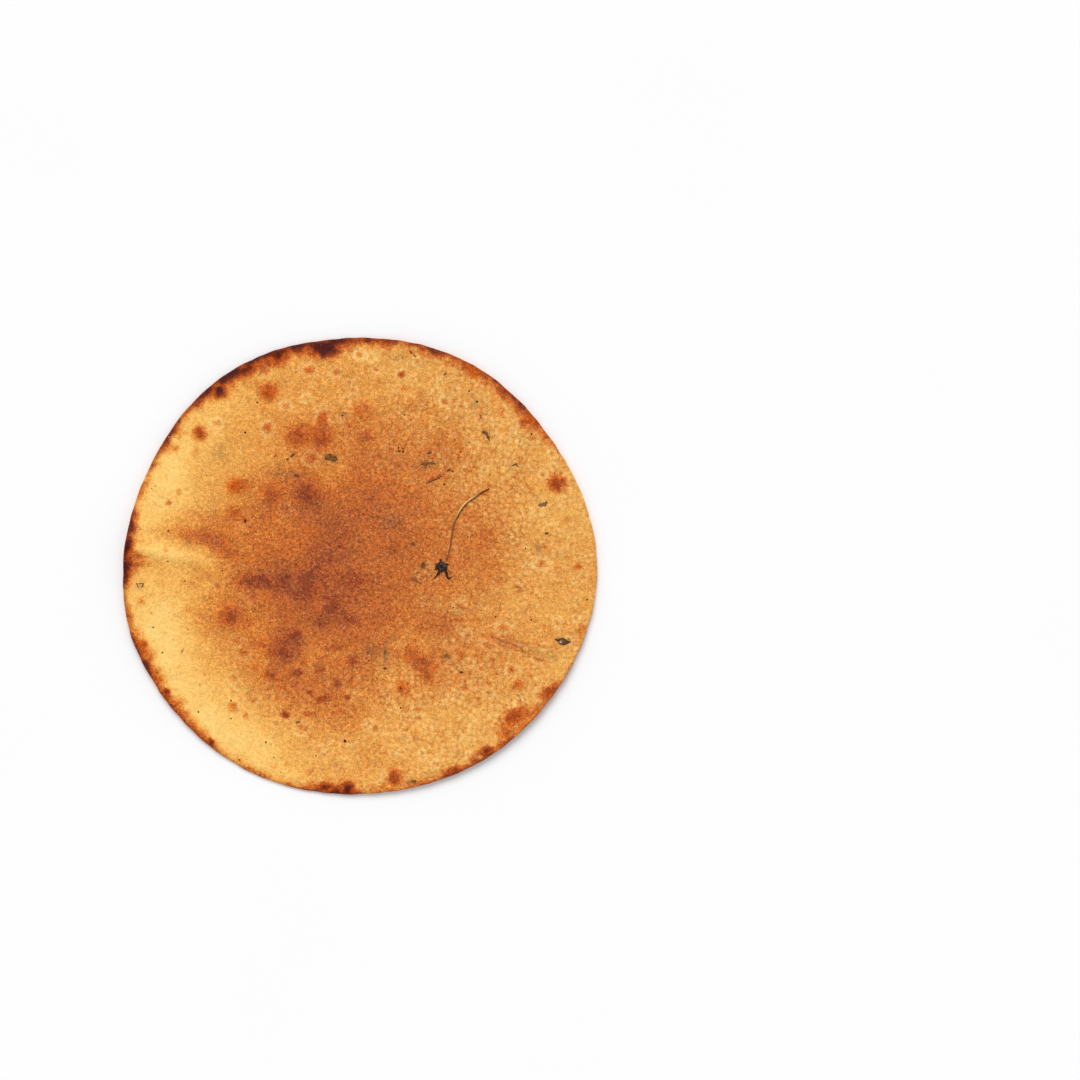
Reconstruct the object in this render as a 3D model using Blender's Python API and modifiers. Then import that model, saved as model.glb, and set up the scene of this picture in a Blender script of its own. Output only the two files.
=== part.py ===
"""A khakhra: one thin, crisp, toasted wheat flatbread with dried herbs, lying flat.

Metres, +Z up. The bread lies on the plane z = 0 with the middle of its outline over the origin.
"""

import math
import random

import bmesh
import bpy
from mathutils import Matrix, Vector, noise

MM = 0.001
SIXTH_TURN = math.pi / 3

# Sheet
MEAN_RADIUS = 88.0 * MM
THICKNESS = 1.3 * MM
RIM_ROUNDING = 0.45 * MM
RIM_ROUNDING_STEPS = 2
SHEET_RINGS = 84

# Thinning: the rim keeps more of its points than the rest, so that it stays round
BODY_TRIANGLES = 10300
RIM_BAND = 1.2 * MM
RIM_THINNING = 0.01
RIM_KEEP = 0.000012

# Hand-rolled outline: waves round the rim as (waves in a turn, size, direction in degrees)
OUTLINE_WAVES = (
    (1, 0.98 * MM, -152),
    (2, 1.20 * MM, 3),
    (3, 0.66 * MM, -14),
    (5, 0.28 * MM, -12),
    (6, 0.42 * MM, 4),
)
CORNER_DIRECTION = 197
CORNER_WIDTH = 7
CORNER_SIZE = 0.6 * MM
RIM_RIPPLE = 0.28 * MM
RIM_RIPPLE_SPAN = 5.0 * MM

# Warp: the middle lies flat on the table and the rim stands off it here and there
REST_REACH = 0.46
REST_REACH_SWING = 0.06
REST_LOBES = 3
LIFT_END_REACH = 1.12
RIM_LIFT = 1.15 * MM
LIFT_WAVES = ((2, 0.55, 165), (3, 0.50, 65), (7, 0.18, 20))
BROAD_SWELL = 0.16 * MM
BROAD_SWELL_SPAN = 21 * MM

# Pleats in the sheet in millimetres: rim end, inner end where each dies out, width and height
PLEATS = (
    ((-92.0, 8.2), (-52.0, 0.0), 3.4, 1.15),
    ((-84.0, 16.0), (-50.0, 5.5), 2.6, 0.35),
    ((-88.0, 1.0), (-72.0, 1.5), 1.6, 0.40),
)
PLEAT_FADE = 16 * MM

# Fine creases pressed into the top, each from end to end in millimetres
CREASES = (
    ((44.0, -26.0), (60.0, -32.5)),
    ((50.0, -25.0), (66.0, -31.5)),
    ((59.0, -33.8), (75.0, -37.5)),
)
CREASE_WIDTH = 1.1 * MM
CREASE_DEPTH = 0.22 * MM

# Blisters that browned against the hot pan: across, up, radius and height in millimetres
BROWNED_BLISTERS = (
    (-35.2, 65.5, 4.2, 0.50),
    (-61.0, 50.0, 3.4, 0.50),
    (-53.5, 65.8, 3.2, 0.45),
    (-13.5, 81.0, 5.0, 0.50),
    (-19.8, 74.0, 2.8, 0.40),
    (15.3, 72.0, 2.8, 0.40),
    (1.0, 59.0, 4.4, 0.40),
    (2.5, 48.5, 4.0, 0.40),
    (-15.0, 50.5, 5.8, 0.55),
    (-24.5, 48.5, 5.0, 0.55),
    (-47.5, 30.0, 5.0, 0.50),
    (-34.0, 28.0, 5.0, 0.45),
    (-21.0, 27.0, 6.4, 0.55),
    (74.2, 31.2, 4.6, 0.60),
    (-50.0, -20.0, 6.0, 0.60),
    (59.5, -45.5, 3.4, 0.45),
    (71.0, -47.0, 3.8, 0.45),
    (57.5, -58.5, 8.0, 0.60),
    (47.8, -70.0, 3.6, 0.45),
    (12.7, -80.0, 4.2, 0.50),
    (21.5, -34.0, 5.6, 0.45),
    (24.5, -40.0, 4.6, 0.40),
    (16.0, -46.5, 4.4, 0.45),
    (-15.0, -50.5, 4.4, 0.45),
    (-24.0, -40.5, 3.4, 0.40),
    (-34.5, -41.5, 3.4, 0.40),
    (-48.5, -53.5, 3.4, 0.40),
)

BROWNED_DIP = 1.5

# Smaller blisters spread over the rest of the bread, some with a sunken middle
BLISTER_SEED = 17
BLISTER_COUNT = 190
BLISTER_RADII = (1.9 * MM, 5.6 * MM)
BLISTER_STEEPNESS = 0.10
BLISTER_DIP = 6.0
BLISTER_REACH = 0.96
BLISTER_WOBBLE = 1.1 * MM
BLISTER_WOBBLE_SPAN = 5.5 * MM
DOME_OVERLAP = 0.4 * MM
DOME_HEIGHT_SPREAD = (0.6, 1.2)

# Hollows under the bread, none on the spot in the middle that it rests on
HOLLOW_SEED = 5
HOLLOW_COUNT = 70
HOLLOW_RADII = (2.6 * MM, 6.0 * MM)
HOLLOW_STEEPNESS = 0.06
HOLLOW_DIP = 3.0
REST_SPOT = 16 * MM

# Herb flakes baked into the top: across, up, length, width in millimetres and turn in degrees
HERB_FLAKES = (
    (-11.3, 40.7, 5.0, 3.4, 0),
    (25.5, 38.5, 6.5, 1.4, 2),
    (26.5, 42.2, 2.6, 1.9, 30),
    (15.0, 43.8, 3.0, 1.9, -10),
    (29.0, 33.0, 7.0, 0.9, 24),
    (47.6, 49.3, 4.2, 1.6, -58),
    (58.5, 38.0, 3.0, 1.4, 15),
    (69.0, 23.0, 3.2, 1.7, 10),
    (19.5, 8.0, 3.6, 1.7, -20),
    (23.5, 0.0, 2.6, 2.2, 60),
    (20.8, -5.8, 5.6, 2.2, -28),
    (32.0, -34.0, 3.4, 1.8, 40),
    (9.0, -37.0, 4.4, 1.6, 80),
    (-24.5, 34.0, 2.8, 2.0, -20),
    (-26.0, 41.5, 3.2, 1.2, 50),
    (-83.5, -8.0, 3.4, 1.4, 40),
    (-67.5, -32.5, 3.0, 1.0, 60),
    (-28.5, -57.0, 3.2, 1.7, -25),
    (19.5, -81.5, 2.8, 1.3, 0),
)
FLAKE_THICKNESS = 0.62 * MM
FLAKE_SIDES = 6
FLAKE_ROWS = 4

# The one seed that shows
SEED_PLACE = (76.5, -28.8)
SEED_LENGTH = 4.2 * MM
SEED_WIDTH = 2.2 * MM
SEED_HEIGHT = 1.5 * MM
SEED_TURN = -12

# Curled leaf with thin legs, and the stem that leads to it: places in millimetres,
# each leg with its direction in degrees and its length in millimetres
LEAF_PLACE = (30.4, -0.6)
LEAF_LENGTH = 4.6 * MM
LEAF_WIDTH = 3.4 * MM
LEAF_HEIGHT = 1.5 * MM
LEAF_TURN = 25
LEAF_LEGS = ((-124, 5.6), (-50, 5.6), (12, 3.8), (68, 3.6), (118, 3.8), (166, 3.4))
LEG_RADIUS = 0.46 * MM
LEG_TIP_RADIUS = 0.16 * MM
LEG_SIDES = 6
STEM_ROUTE = (
    (49.0, 29.4),
    (44.2, 26.6),
    (39.4, 23.2),
    (36.2, 18.2),
    (34.6, 12.0),
    (33.4, 6.0),
    (32.4, 1.4),
)
STEM_RADIUS = 0.45 * MM
STEM_POINTS_PER_STRETCH = 4
STEM_BEVEL = 1
STEM_RISE = 0.18 * MM

# Placing, cleaning and shading
DROP_HEIGHT = 20 * MM
MERGE_DISTANCE = 0.0005 * MM
FLAT_TOLERANCE = 0.02 * MM
SHARP_ANGLE = math.radians(50)

# Toasted dough
BREAD_COLOUR = (0.62, 0.30, 0.085, 1.0)
BREAD_ROUGHNESS = 0.72


def clear_scene():
    """Take every object out of the scene."""
    for item in list(bpy.data.objects):
        bpy.data.objects.remove(item, do_unlink=True)


def new_collection(name):
    """A collection of this name, linked to the scene."""
    group = bpy.data.collections.new(name)
    bpy.context.scene.collection.children.link(group)
    return group


def bread_material():
    """Matt toasted dough."""
    material = bpy.data.materials.new("toasted_dough")
    material.use_nodes = True
    surface = material.node_tree.nodes["Principled BSDF"]
    surface.inputs["Base Color"].default_value = BREAD_COLOUR
    surface.inputs["Roughness"].default_value = BREAD_ROUGHNESS
    surface.inputs["Metallic"].default_value = 0.0
    return material


def new_piece(name, shape, group):
    """A mesh object made from a bmesh, which is used up."""
    mesh = bpy.data.meshes.new(name)
    shape.to_mesh(mesh)
    shape.free()
    piece = bpy.data.objects.new(name, mesh)
    group.objects.link(piece)
    return piece


def settle_modifiers(piece):
    """Make the piece's modifiers its real shape."""
    bpy.context.view_layer.update()
    evaluated = piece.evaluated_get(bpy.context.evaluated_depsgraph_get())
    settled = bpy.data.meshes.new_from_object(evaluated)
    unsettled = piece.data
    piece.modifiers.clear()
    piece.data = settled
    bpy.data.meshes.remove(unsettled)


def smooth_step(share):
    """Ease from 0 to 1."""
    share = min(1.0, max(0.0, share))
    return share * share * (3.0 - 2.0 * share)


def wave_sum(waves, turn):
    """The sum of round-the-rim waves at one direction."""
    return sum(size * math.cos(count * (turn - math.radians(lean))) for count, size, lean in waves)


def outline_radius(turn):
    """Radius of the hand-rolled outline at one direction."""
    off_corner = (math.degrees(turn) - CORNER_DIRECTION + 180) % 360 - 180
    corner = CORNER_SIZE * math.exp(-((off_corner / CORNER_WIDTH) ** 2))
    rim_place = Vector((math.cos(turn), math.sin(turn), 0.0)) * MEAN_RADIUS / RIM_RIPPLE_SPAN
    ripple = RIM_RIPPLE * noise.noise(rim_place)
    return MEAN_RADIUS + wave_sum(OUTLINE_WAVES, turn) + corner + ripple


def flat_sheet(rings):
    """A flat six-sided sheet of even triangles, its corners one unit from the middle, two on the y axis."""
    sheet = bmesh.new()
    bmesh.ops.create_circle(sheet, cap_ends=True, cap_tris=True, segments=6, radius=1.0)
    bmesh.ops.subdivide_edges(sheet, edges=sheet.edges[:], cuts=rings - 1, use_grid_fill=True)
    return sheet


def ring_and_turn(place):
    """Where a point of the six-sided sheet goes on the round one: a reach from 0 to 1 and a direction."""
    turn = math.atan2(place.y, place.x)
    side_middle = round(turn / SIXTH_TURN) * SIXTH_TURN
    reach = place.length * math.cos(turn - side_middle) / math.cos(SIXTH_TURN / 2)
    along_side = math.tan(turn - side_middle) / math.tan(SIXTH_TURN / 2)
    return reach, side_middle + along_side * SIXTH_TURN / 2


def distance_to_line(x, y, line):
    """Distance from a straight line between two places, and how far along it the nearest point is."""
    start, end = (Vector(place) * MM for place in line)
    stretch = end - start
    offset = Vector((x, y)) - start
    along = min(1.0, max(0.0, offset.dot(stretch) / stretch.length_squared))
    return (offset - stretch * along).length, along * stretch.length, stretch.length


def pleat_height(x, y):
    """Height of the pleats, which are strongest at the rim and die out inward."""
    height = 0.0
    for start, end, width, size in PLEATS:
        aside, along, length = distance_to_line(x, y, (start, end))
        ridge = math.exp(-((aside / (width * MM)) ** 2))
        height += size * MM * ridge * smooth_step((length - along) / PLEAT_FADE)
    return height


def rim_lift(reach, turn):
    """How far the underside stands off the table."""
    start = REST_REACH + REST_REACH_SWING * math.sin(REST_LOBES * turn)
    height = RIM_LIFT * (1.0 + wave_sum(LIFT_WAVES, turn))
    return max(0.0, height) * smooth_step((reach - start) / (LIFT_END_REACH - start))


def broad_swell(x, y):
    """Slow unevenness of the dough's thickness."""
    return BROAD_SWELL * noise.noise(Vector((x, y, 0.0)) / BROAD_SWELL_SPAN)


def spread_domes(seed, count, radii, steepness, dip, keep_clear, taken):
    """Round bumps spread at random, most of them small, each as across, up, radius, height and dip."""
    draw = random.Random(seed)
    smallest, largest = radii
    domes = []
    while len(domes) < count:
        reach = MEAN_RADIUS * BLISTER_REACH * math.sqrt(draw.random())
        turn = draw.uniform(-math.pi, math.pi)
        radius = smallest + (largest - smallest) * draw.random() ** 2
        x = reach * math.cos(turn)
        y = reach * math.sin(turn)
        gaps = (math.hypot(x - other[0], y - other[1]) - radius - other[2] for other in taken + domes)
        if reach - radius > keep_clear and min(gaps, default=0.0) > -DOME_OVERLAP:
            height = radius * steepness * draw.uniform(*DOME_HEIGHT_SPREAD)
            domes.append((x, y, radius, height, draw.uniform(0.0, dip)))
    return domes


def all_blisters():
    """Every blister on the top, the browned ones first."""
    browned = [(*(size * MM for size in blister), BROWNED_DIP) for blister in BROWNED_BLISTERS]
    return browned + spread_domes(BLISTER_SEED, BLISTER_COUNT, BLISTER_RADII, BLISTER_STEEPNESS,
                                  BLISTER_DIP, 0.0, browned)


def wobbled(x, y):
    """A place moved a little one way or another, which makes round things uneven."""
    drift = noise.noise_vector(Vector((x, y, 0.0)) / BLISTER_WOBBLE_SPAN) * BLISTER_WOBBLE
    return x + drift.x, y + drift.y


def dome_height(x, y, domes):
    """Height of the round bumps at a place."""
    x, y = wobbled(x, y)
    height = 0.0
    for across, up, radius, size, dip in domes:
        share = ((x - across) ** 2 + (y - up) ** 2) / radius ** 2
        if share < 1.0:
            height += size * (1.0 - share) ** 2 * (1.0 + dip * share)
    return height


def crease_depth(x, y):
    """Depth of the fine creases at a place."""
    depth = 0.0
    for line in CREASES:
        aside, along, length = distance_to_line(x, y, line)
        ends = math.sin(math.pi * min(1.0, max(0.0, along / length)))
        depth += CREASE_DEPTH * ends * math.exp(-((aside / CREASE_WIDTH) ** 2))
    return depth


def shape_underside(sheet):
    """Round the flat sheet off and give it the bread's warp and pleats."""
    for corner in sheet.verts:
        reach, turn = ring_and_turn(corner.co)
        radius = reach * outline_radius(turn)
        x = radius * math.cos(turn)
        y = radius * math.sin(turn)
        corner.co = (x, y, rim_lift(reach, turn) + pleat_height(x, y))


def thicken(bread):
    """Give the sheet its thickness and its rounded rim."""
    solid = bread.modifiers.new("thickness", 'SOLIDIFY')
    solid.thickness = THICKNESS
    solid.offset = 1.0
    rounding = bread.modifiers.new("rounded_rim", 'BEVEL')
    rounding.width = RIM_ROUNDING
    rounding.segments = RIM_ROUNDING_STEPS
    rounding.limit_method = 'ANGLE'
    rounding.angle_limit = SHARP_ANGLE
    settle_modifiers(bread)


def raise_relief(bread):
    """Raise the blisters and creases on the top, and press the hollows into the underside."""
    blisters = all_blisters()
    hollows = spread_domes(HOLLOW_SEED, HOLLOW_COUNT, HOLLOW_RADII, HOLLOW_STEEPNESS,
                           HOLLOW_DIP, REST_SPOT, [])
    slopes = [corner.normal.z for corner in bread.data.vertices]
    for corner, upward in zip(bread.data.vertices, slopes):
        x, y, _ = corner.co
        if upward > 0.0:
            rise = dome_height(x, y, blisters) - crease_depth(x, y) + broad_swell(x, y)
        else:
            rise = -dome_height(x, y, hollows)
        corner.co.z += rise * upward


def inside_rim(corner):
    """Whether a corner of the mesh lies inside the rim's band."""
    turn = math.atan2(corner.co.y, corner.co.x)
    return corner.co.xy.length < outline_radius(turn) - RIM_BAND


def thin_out_triangles(bread):
    """Keep small triangles on the relief and the rim, and large ones where the bread is plain."""
    corners = bread.data.vertices
    freely = bread.vertex_groups.new(name="thin_out_freely")
    freely.add([corner.index for corner in corners], RIM_THINNING, 'REPLACE')
    freely.add([corner.index for corner in corners if inside_rim(corner)], 1.0, 'REPLACE')
    thinning = bread.modifiers.new("fewer_triangles", 'DECIMATE')
    thinning.vertex_group = freely.name
    thinning.vertex_group_factor = RIM_KEEP
    bread.data.calc_loop_triangles()
    thinning.ratio = BODY_TRIANGLES / len(bread.data.loop_triangles)
    settle_modifiers(bread)
    bread.vertex_groups.clear()
    for corner in bread.data.vertices:
        if corner.co.z < FLAT_TOLERANCE:
            corner.co.z = 0.0


def surface_at(bread, x, y):
    """The place on top of the bread over one point of the table, and the way the bread faces there."""
    found, place, facing, _ = bread.ray_cast(Vector((x, y, DROP_HEIGHT)), Vector((0.0, 0.0, -1.0)))
    if not found:
        raise ValueError(f"no bread at {x:.4f}, {y:.4f}")
    return place, facing


def lying_on(bread, x, y, turn):
    """Placement of a bit that lies on the bread at a place, its length along the turned x axis."""
    place, facing = surface_at(bread, x, y)
    tilt = Vector((0.0, 0.0, 1.0)).rotation_difference(facing).to_matrix().to_4x4()
    return Matrix.Translation(place) @ tilt @ Matrix.Rotation(turn, 4, 'Z')


def pointed_bit(name, bread, place, turn, size, group):
    """A bit with pointed ends, such as a flake or a seed, half sunk in the bread."""
    bit = bmesh.new()
    bmesh.ops.create_uvsphere(bit, u_segments=FLAKE_SIDES, v_segments=FLAKE_ROWS, radius=0.5)
    bmesh.ops.rotate(bit, verts=bit.verts, matrix=Matrix.Rotation(math.pi / 2, 3, 'Y'))
    bmesh.ops.scale(bit, verts=bit.verts, vec=size)
    x, y = (across * MM for across in place)
    bmesh.ops.transform(bit, verts=bit.verts, matrix=lying_on(bread, x, y, math.radians(turn)))
    return new_piece(name, bit, group)


def herb_flakes(bread, group):
    """The larger herb flakes."""
    for number, (x, y, length, width, turn) in enumerate(HERB_FLAKES, start=1):
        size = (length * MM, width * MM, FLAKE_THICKNESS)
        pointed_bit(f"flake_{number:02d}", bread, (x, y), turn, size, group)


def curled_leaf(bread, group):
    """The dark curled leaf with its thin legs."""
    pointed_bit("leaf", bread, LEAF_PLACE, LEAF_TURN, (LEAF_LENGTH, LEAF_WIDTH, LEAF_HEIGHT), group)
    for number, (direction, length) in enumerate(LEAF_LEGS, start=1):
        turn = math.radians(direction)
        reach = length * MM
        leg = bmesh.new()
        bmesh.ops.create_cone(leg, cap_ends=True, cap_tris=True, segments=LEG_SIDES,
                              radius1=LEG_RADIUS, radius2=LEG_TIP_RADIUS, depth=reach)
        bmesh.ops.rotate(leg, verts=leg.verts, matrix=Matrix.Rotation(math.pi / 2, 3, 'Y'))
        x = LEAF_PLACE[0] * MM + math.cos(turn) * reach / 2
        y = LEAF_PLACE[1] * MM + math.sin(turn) * reach / 2
        bmesh.ops.transform(leg, verts=leg.verts, matrix=lying_on(bread, x, y, turn))
        new_piece(f"leg_{number}", leg, group)


def smooth_route(stops, points_per_stretch):
    """Points along a smooth curve through the stops."""
    stops = [Vector(stop) for stop in stops]
    padded = [2 * stops[0] - stops[1], *stops, 2 * stops[-1] - stops[-2]]
    route = []
    for before, start, end, after in zip(padded, padded[1:], padded[2:], padded[3:]):
        for step in range(points_per_stretch):
            share = step / points_per_stretch
            bend = (2 * before - 5 * start + 4 * end - after) * share ** 2
            twist = (3 * start - before - 3 * end + after) * share ** 3
            route.append(start + ((end - before) * share + bend + twist) / 2)
    route.append(stops[-1])
    return route


def herb_stem(bread, group):
    """The thin curved stem, half sunk in the bread."""
    curve = bpy.data.curves.new("stem", 'CURVE')
    curve.dimensions = '3D'
    curve.bevel_depth = STEM_RADIUS
    curve.bevel_resolution = STEM_BEVEL
    curve.use_fill_caps = True
    route = smooth_route(STEM_ROUTE, STEM_POINTS_PER_STRETCH)
    spline = curve.splines.new('POLY')
    spline.points.add(len(route) - 1)
    for point, stop in zip(spline.points, route):
        place, _ = surface_at(bread, stop.x * MM, stop.y * MM)
        point.co = (place.x, place.y, place.z + STEM_RISE, 1.0)
    guide = bpy.data.objects.new("stem_guide", curve)
    group.objects.link(guide)
    bpy.context.view_layer.update()
    mesh = bpy.data.meshes.new_from_object(guide.evaluated_get(bpy.context.evaluated_depsgraph_get()))
    tube = bmesh.new()
    tube.from_mesh(mesh)
    bmesh.ops.remove_doubles(tube, verts=tube.verts, dist=MERGE_DISTANCE)
    bpy.data.objects.remove(guide, do_unlink=True)
    bpy.data.meshes.remove(mesh)
    new_piece("stem", tube, group)


def islands_of(shape):
    """The separate bodies of a mesh, as lists of corners."""
    unseen = set(shape.verts)
    islands = []
    while unseen:
        island = []
        waiting = [unseen.pop()]
        while waiting:
            corner = waiting.pop()
            island.append(corner)
            for edge in corner.link_edges:
                other = edge.other_vert(corner)
                if other in unseen:
                    unseen.remove(other)
                    waiting.append(other)
        islands.append(island)
    return islands


def fuse(bread, group):
    """Join the herbs to the bread, and leave no loose scrap or sealed hollow."""
    union = bread.modifiers.new("herbs", 'BOOLEAN')
    union.operation = 'UNION'
    union.operand_type = 'COLLECTION'
    union.collection = group
    union.solver = 'EXACT'
    settle_modifiers(bread)
    for bit in list(group.objects):
        bpy.data.objects.remove(bit, do_unlink=True)
    bpy.data.collections.remove(group)
    shape = bmesh.new()
    shape.from_mesh(bread.data)
    bmesh.ops.remove_doubles(shape, verts=shape.verts, dist=MERGE_DISTANCE)
    bmesh.ops.dissolve_degenerate(shape, edges=shape.edges, dist=MERGE_DISTANCE)
    bmesh.ops.triangulate(shape, faces=shape.faces)
    for scrap in sorted(islands_of(shape), key=len)[:-1]:
        bmesh.ops.delete(shape, geom=scrap, context='VERTS')
    shape.to_mesh(bread.data)
    shape.free()


def build_khakhra():
    """The whole bread, its herbs fused to it."""
    parts = new_collection("Khakhra")
    herbs = new_collection("Herbs")
    sheet = flat_sheet(SHEET_RINGS)
    shape_underside(sheet)
    bread = new_piece("khakhra", sheet, parts)
    thicken(bread)
    raise_relief(bread)
    thin_out_triangles(bread)
    bpy.context.view_layer.update()
    herb_flakes(bread, herbs)
    pointed_bit("seed", bread, SEED_PLACE, SEED_TURN, (SEED_LENGTH, SEED_WIDTH, SEED_HEIGHT), herbs)
    curled_leaf(bread, herbs)
    herb_stem(bread, herbs)
    fuse(bread, herbs)
    bread.data.materials.clear()
    bread.data.materials.append(bread_material())
    bread.data.shade_smooth()
    bread.data.set_sharp_from_angle(angle=SHARP_ANGLE)
    return bread


clear_scene()
build_khakhra()
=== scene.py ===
"""Looks of a khakhra: a thin toasted wheat flatbread with dried herbs, lying on a pale floor."""

import logging
import math
import random
from dataclasses import dataclass, field, replace
from enum import Enum
from typing import Callable, Iterable, Sequence

import bmesh
import bpy
import numpy as np
from mathutils import Euler, Matrix, Vector, noise


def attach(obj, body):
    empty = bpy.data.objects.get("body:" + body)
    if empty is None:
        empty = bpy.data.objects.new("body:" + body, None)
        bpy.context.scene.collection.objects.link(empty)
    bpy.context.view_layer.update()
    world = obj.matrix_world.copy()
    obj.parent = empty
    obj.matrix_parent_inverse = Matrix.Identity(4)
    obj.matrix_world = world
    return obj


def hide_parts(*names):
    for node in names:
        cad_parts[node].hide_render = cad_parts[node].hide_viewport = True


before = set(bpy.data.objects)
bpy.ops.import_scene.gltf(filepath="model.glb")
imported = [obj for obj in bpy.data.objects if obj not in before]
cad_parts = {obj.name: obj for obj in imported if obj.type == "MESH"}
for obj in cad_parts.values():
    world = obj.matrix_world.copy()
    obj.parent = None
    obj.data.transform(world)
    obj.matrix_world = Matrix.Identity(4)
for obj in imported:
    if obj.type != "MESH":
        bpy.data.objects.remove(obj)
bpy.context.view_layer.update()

LOG = logging.getLogger("khakhra")
MM = 0.001
SIXTH_TURN = math.pi / 3
BODY = "root"
NODE = "khakhra"

Colour = tuple[float, float, float, float]


def srgb(red: int, green: int, blue: int) -> Colour:
    """Turn a colour as a screen shows it into the linear colour that a shader takes.

    Args:
        red: Red from 0 to 255.
        green: Green from 0 to 255.
        blue: Blue from 0 to 255.

    Returns:
        The linear colour with full alpha.
    """
    shares = [channel / 255 for channel in (red, green, blue)]
    linear = [share / 12.92 if share <= 0.04045 else ((share + 0.055) / 1.055) ** 2.4 for share in shares]
    return (*linear, 1.0)


def ease(share: np.ndarray) -> np.ndarray:
    """Ease an array from 0 to 1."""
    share = np.clip(share, 0.0, 1.0)
    return share * share * (3.0 - 2.0 * share)


class Side(Enum):
    """The levels of the bread's flat pattern, from its top face round the rim to its underside."""

    TOP = 1.0
    UPPER_RIM = 0.5
    RIM = 0.0
    LOWER_RIM = -0.5
    UNDERSIDE = -1.0


@dataclass(frozen=True)
class Blister:
    """A round bump in the crust.

    Places and sizes are in metres, and dip says how far its middle has sunk.
    """

    x: float
    y: float
    radius: float
    height: float
    dip: float


@dataclass(frozen=True)
class BlisterSpread:
    """A rule that spreads blisters over one face of the bread."""

    seed: int
    count: int
    smallest: float
    largest: float
    steepness: float
    dip: float
    keep_clear: float = 0.0
    reach: float = 0.96
    overlap: float = 0.4 * MM
    height_spread: tuple[float, float] = (0.6, 1.2)

    def blisters(self, mean_radius: float, taken: Sequence[Blister]) -> list[Blister]:
        """Draw the blisters one after another, each clear of those before it.

        Args:
            mean_radius: Mean radius of the bread.
            taken: Blisters that are there already.

        Returns:
            The new blisters.
        """
        draw = random.Random(self.seed)
        made: list[Blister] = []
        while len(made) < self.count:
            reach = mean_radius * self.reach * math.sqrt(draw.random())
            turn = draw.uniform(-math.pi, math.pi)
            radius = self.smallest + (self.largest - self.smallest) * draw.random() ** 2
            x = reach * math.cos(turn)
            y = reach * math.sin(turn)
            gaps = (math.hypot(x - other.x, y - other.y) - radius - other.radius for other in [*taken, *made])
            if reach - radius > self.keep_clear and min(gaps, default=0.0) > -self.overlap:
                height = radius * self.steepness * draw.uniform(*self.height_spread)
                made.append(Blister(x, y, radius, height, draw.uniform(0.0, self.dip)))
        return made


@dataclass(frozen=True)
class Pleat:
    """A fold of the sheet that runs in from the rim, in millimetres."""

    rim_end: tuple[float, float]
    inner_end: tuple[float, float]
    width: float
    height: float


@dataclass(frozen=True)
class Stroke:
    """A straight mark on the bread, in millimetres."""

    start: tuple[float, float]
    end: tuple[float, float]
    width: float
    strength: float


def near_line(x: np.ndarray, y: np.ndarray, start: Sequence[float], end: Sequence[float]) -> tuple:
    """Measure places against a straight line.

    Args:
        x: Places across, in metres.
        y: Places up, in metres.
        start: One end, in millimetres.
        end: The other end, in millimetres.

    Returns:
        The distances from the line, how far along it the nearest points are, and its length.
    """
    first = np.array(start) * MM
    stretch = np.array(end) * MM - first
    length = float(np.hypot(*stretch))
    along = np.clip(((x - first[0]) * stretch[0] + (y - first[1]) * stretch[1]) / length ** 2, 0.0, 1.0)
    aside = np.hypot(x - first[0] - along * stretch[0], y - first[1] - along * stretch[1])
    return aside, along * length, length


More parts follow.
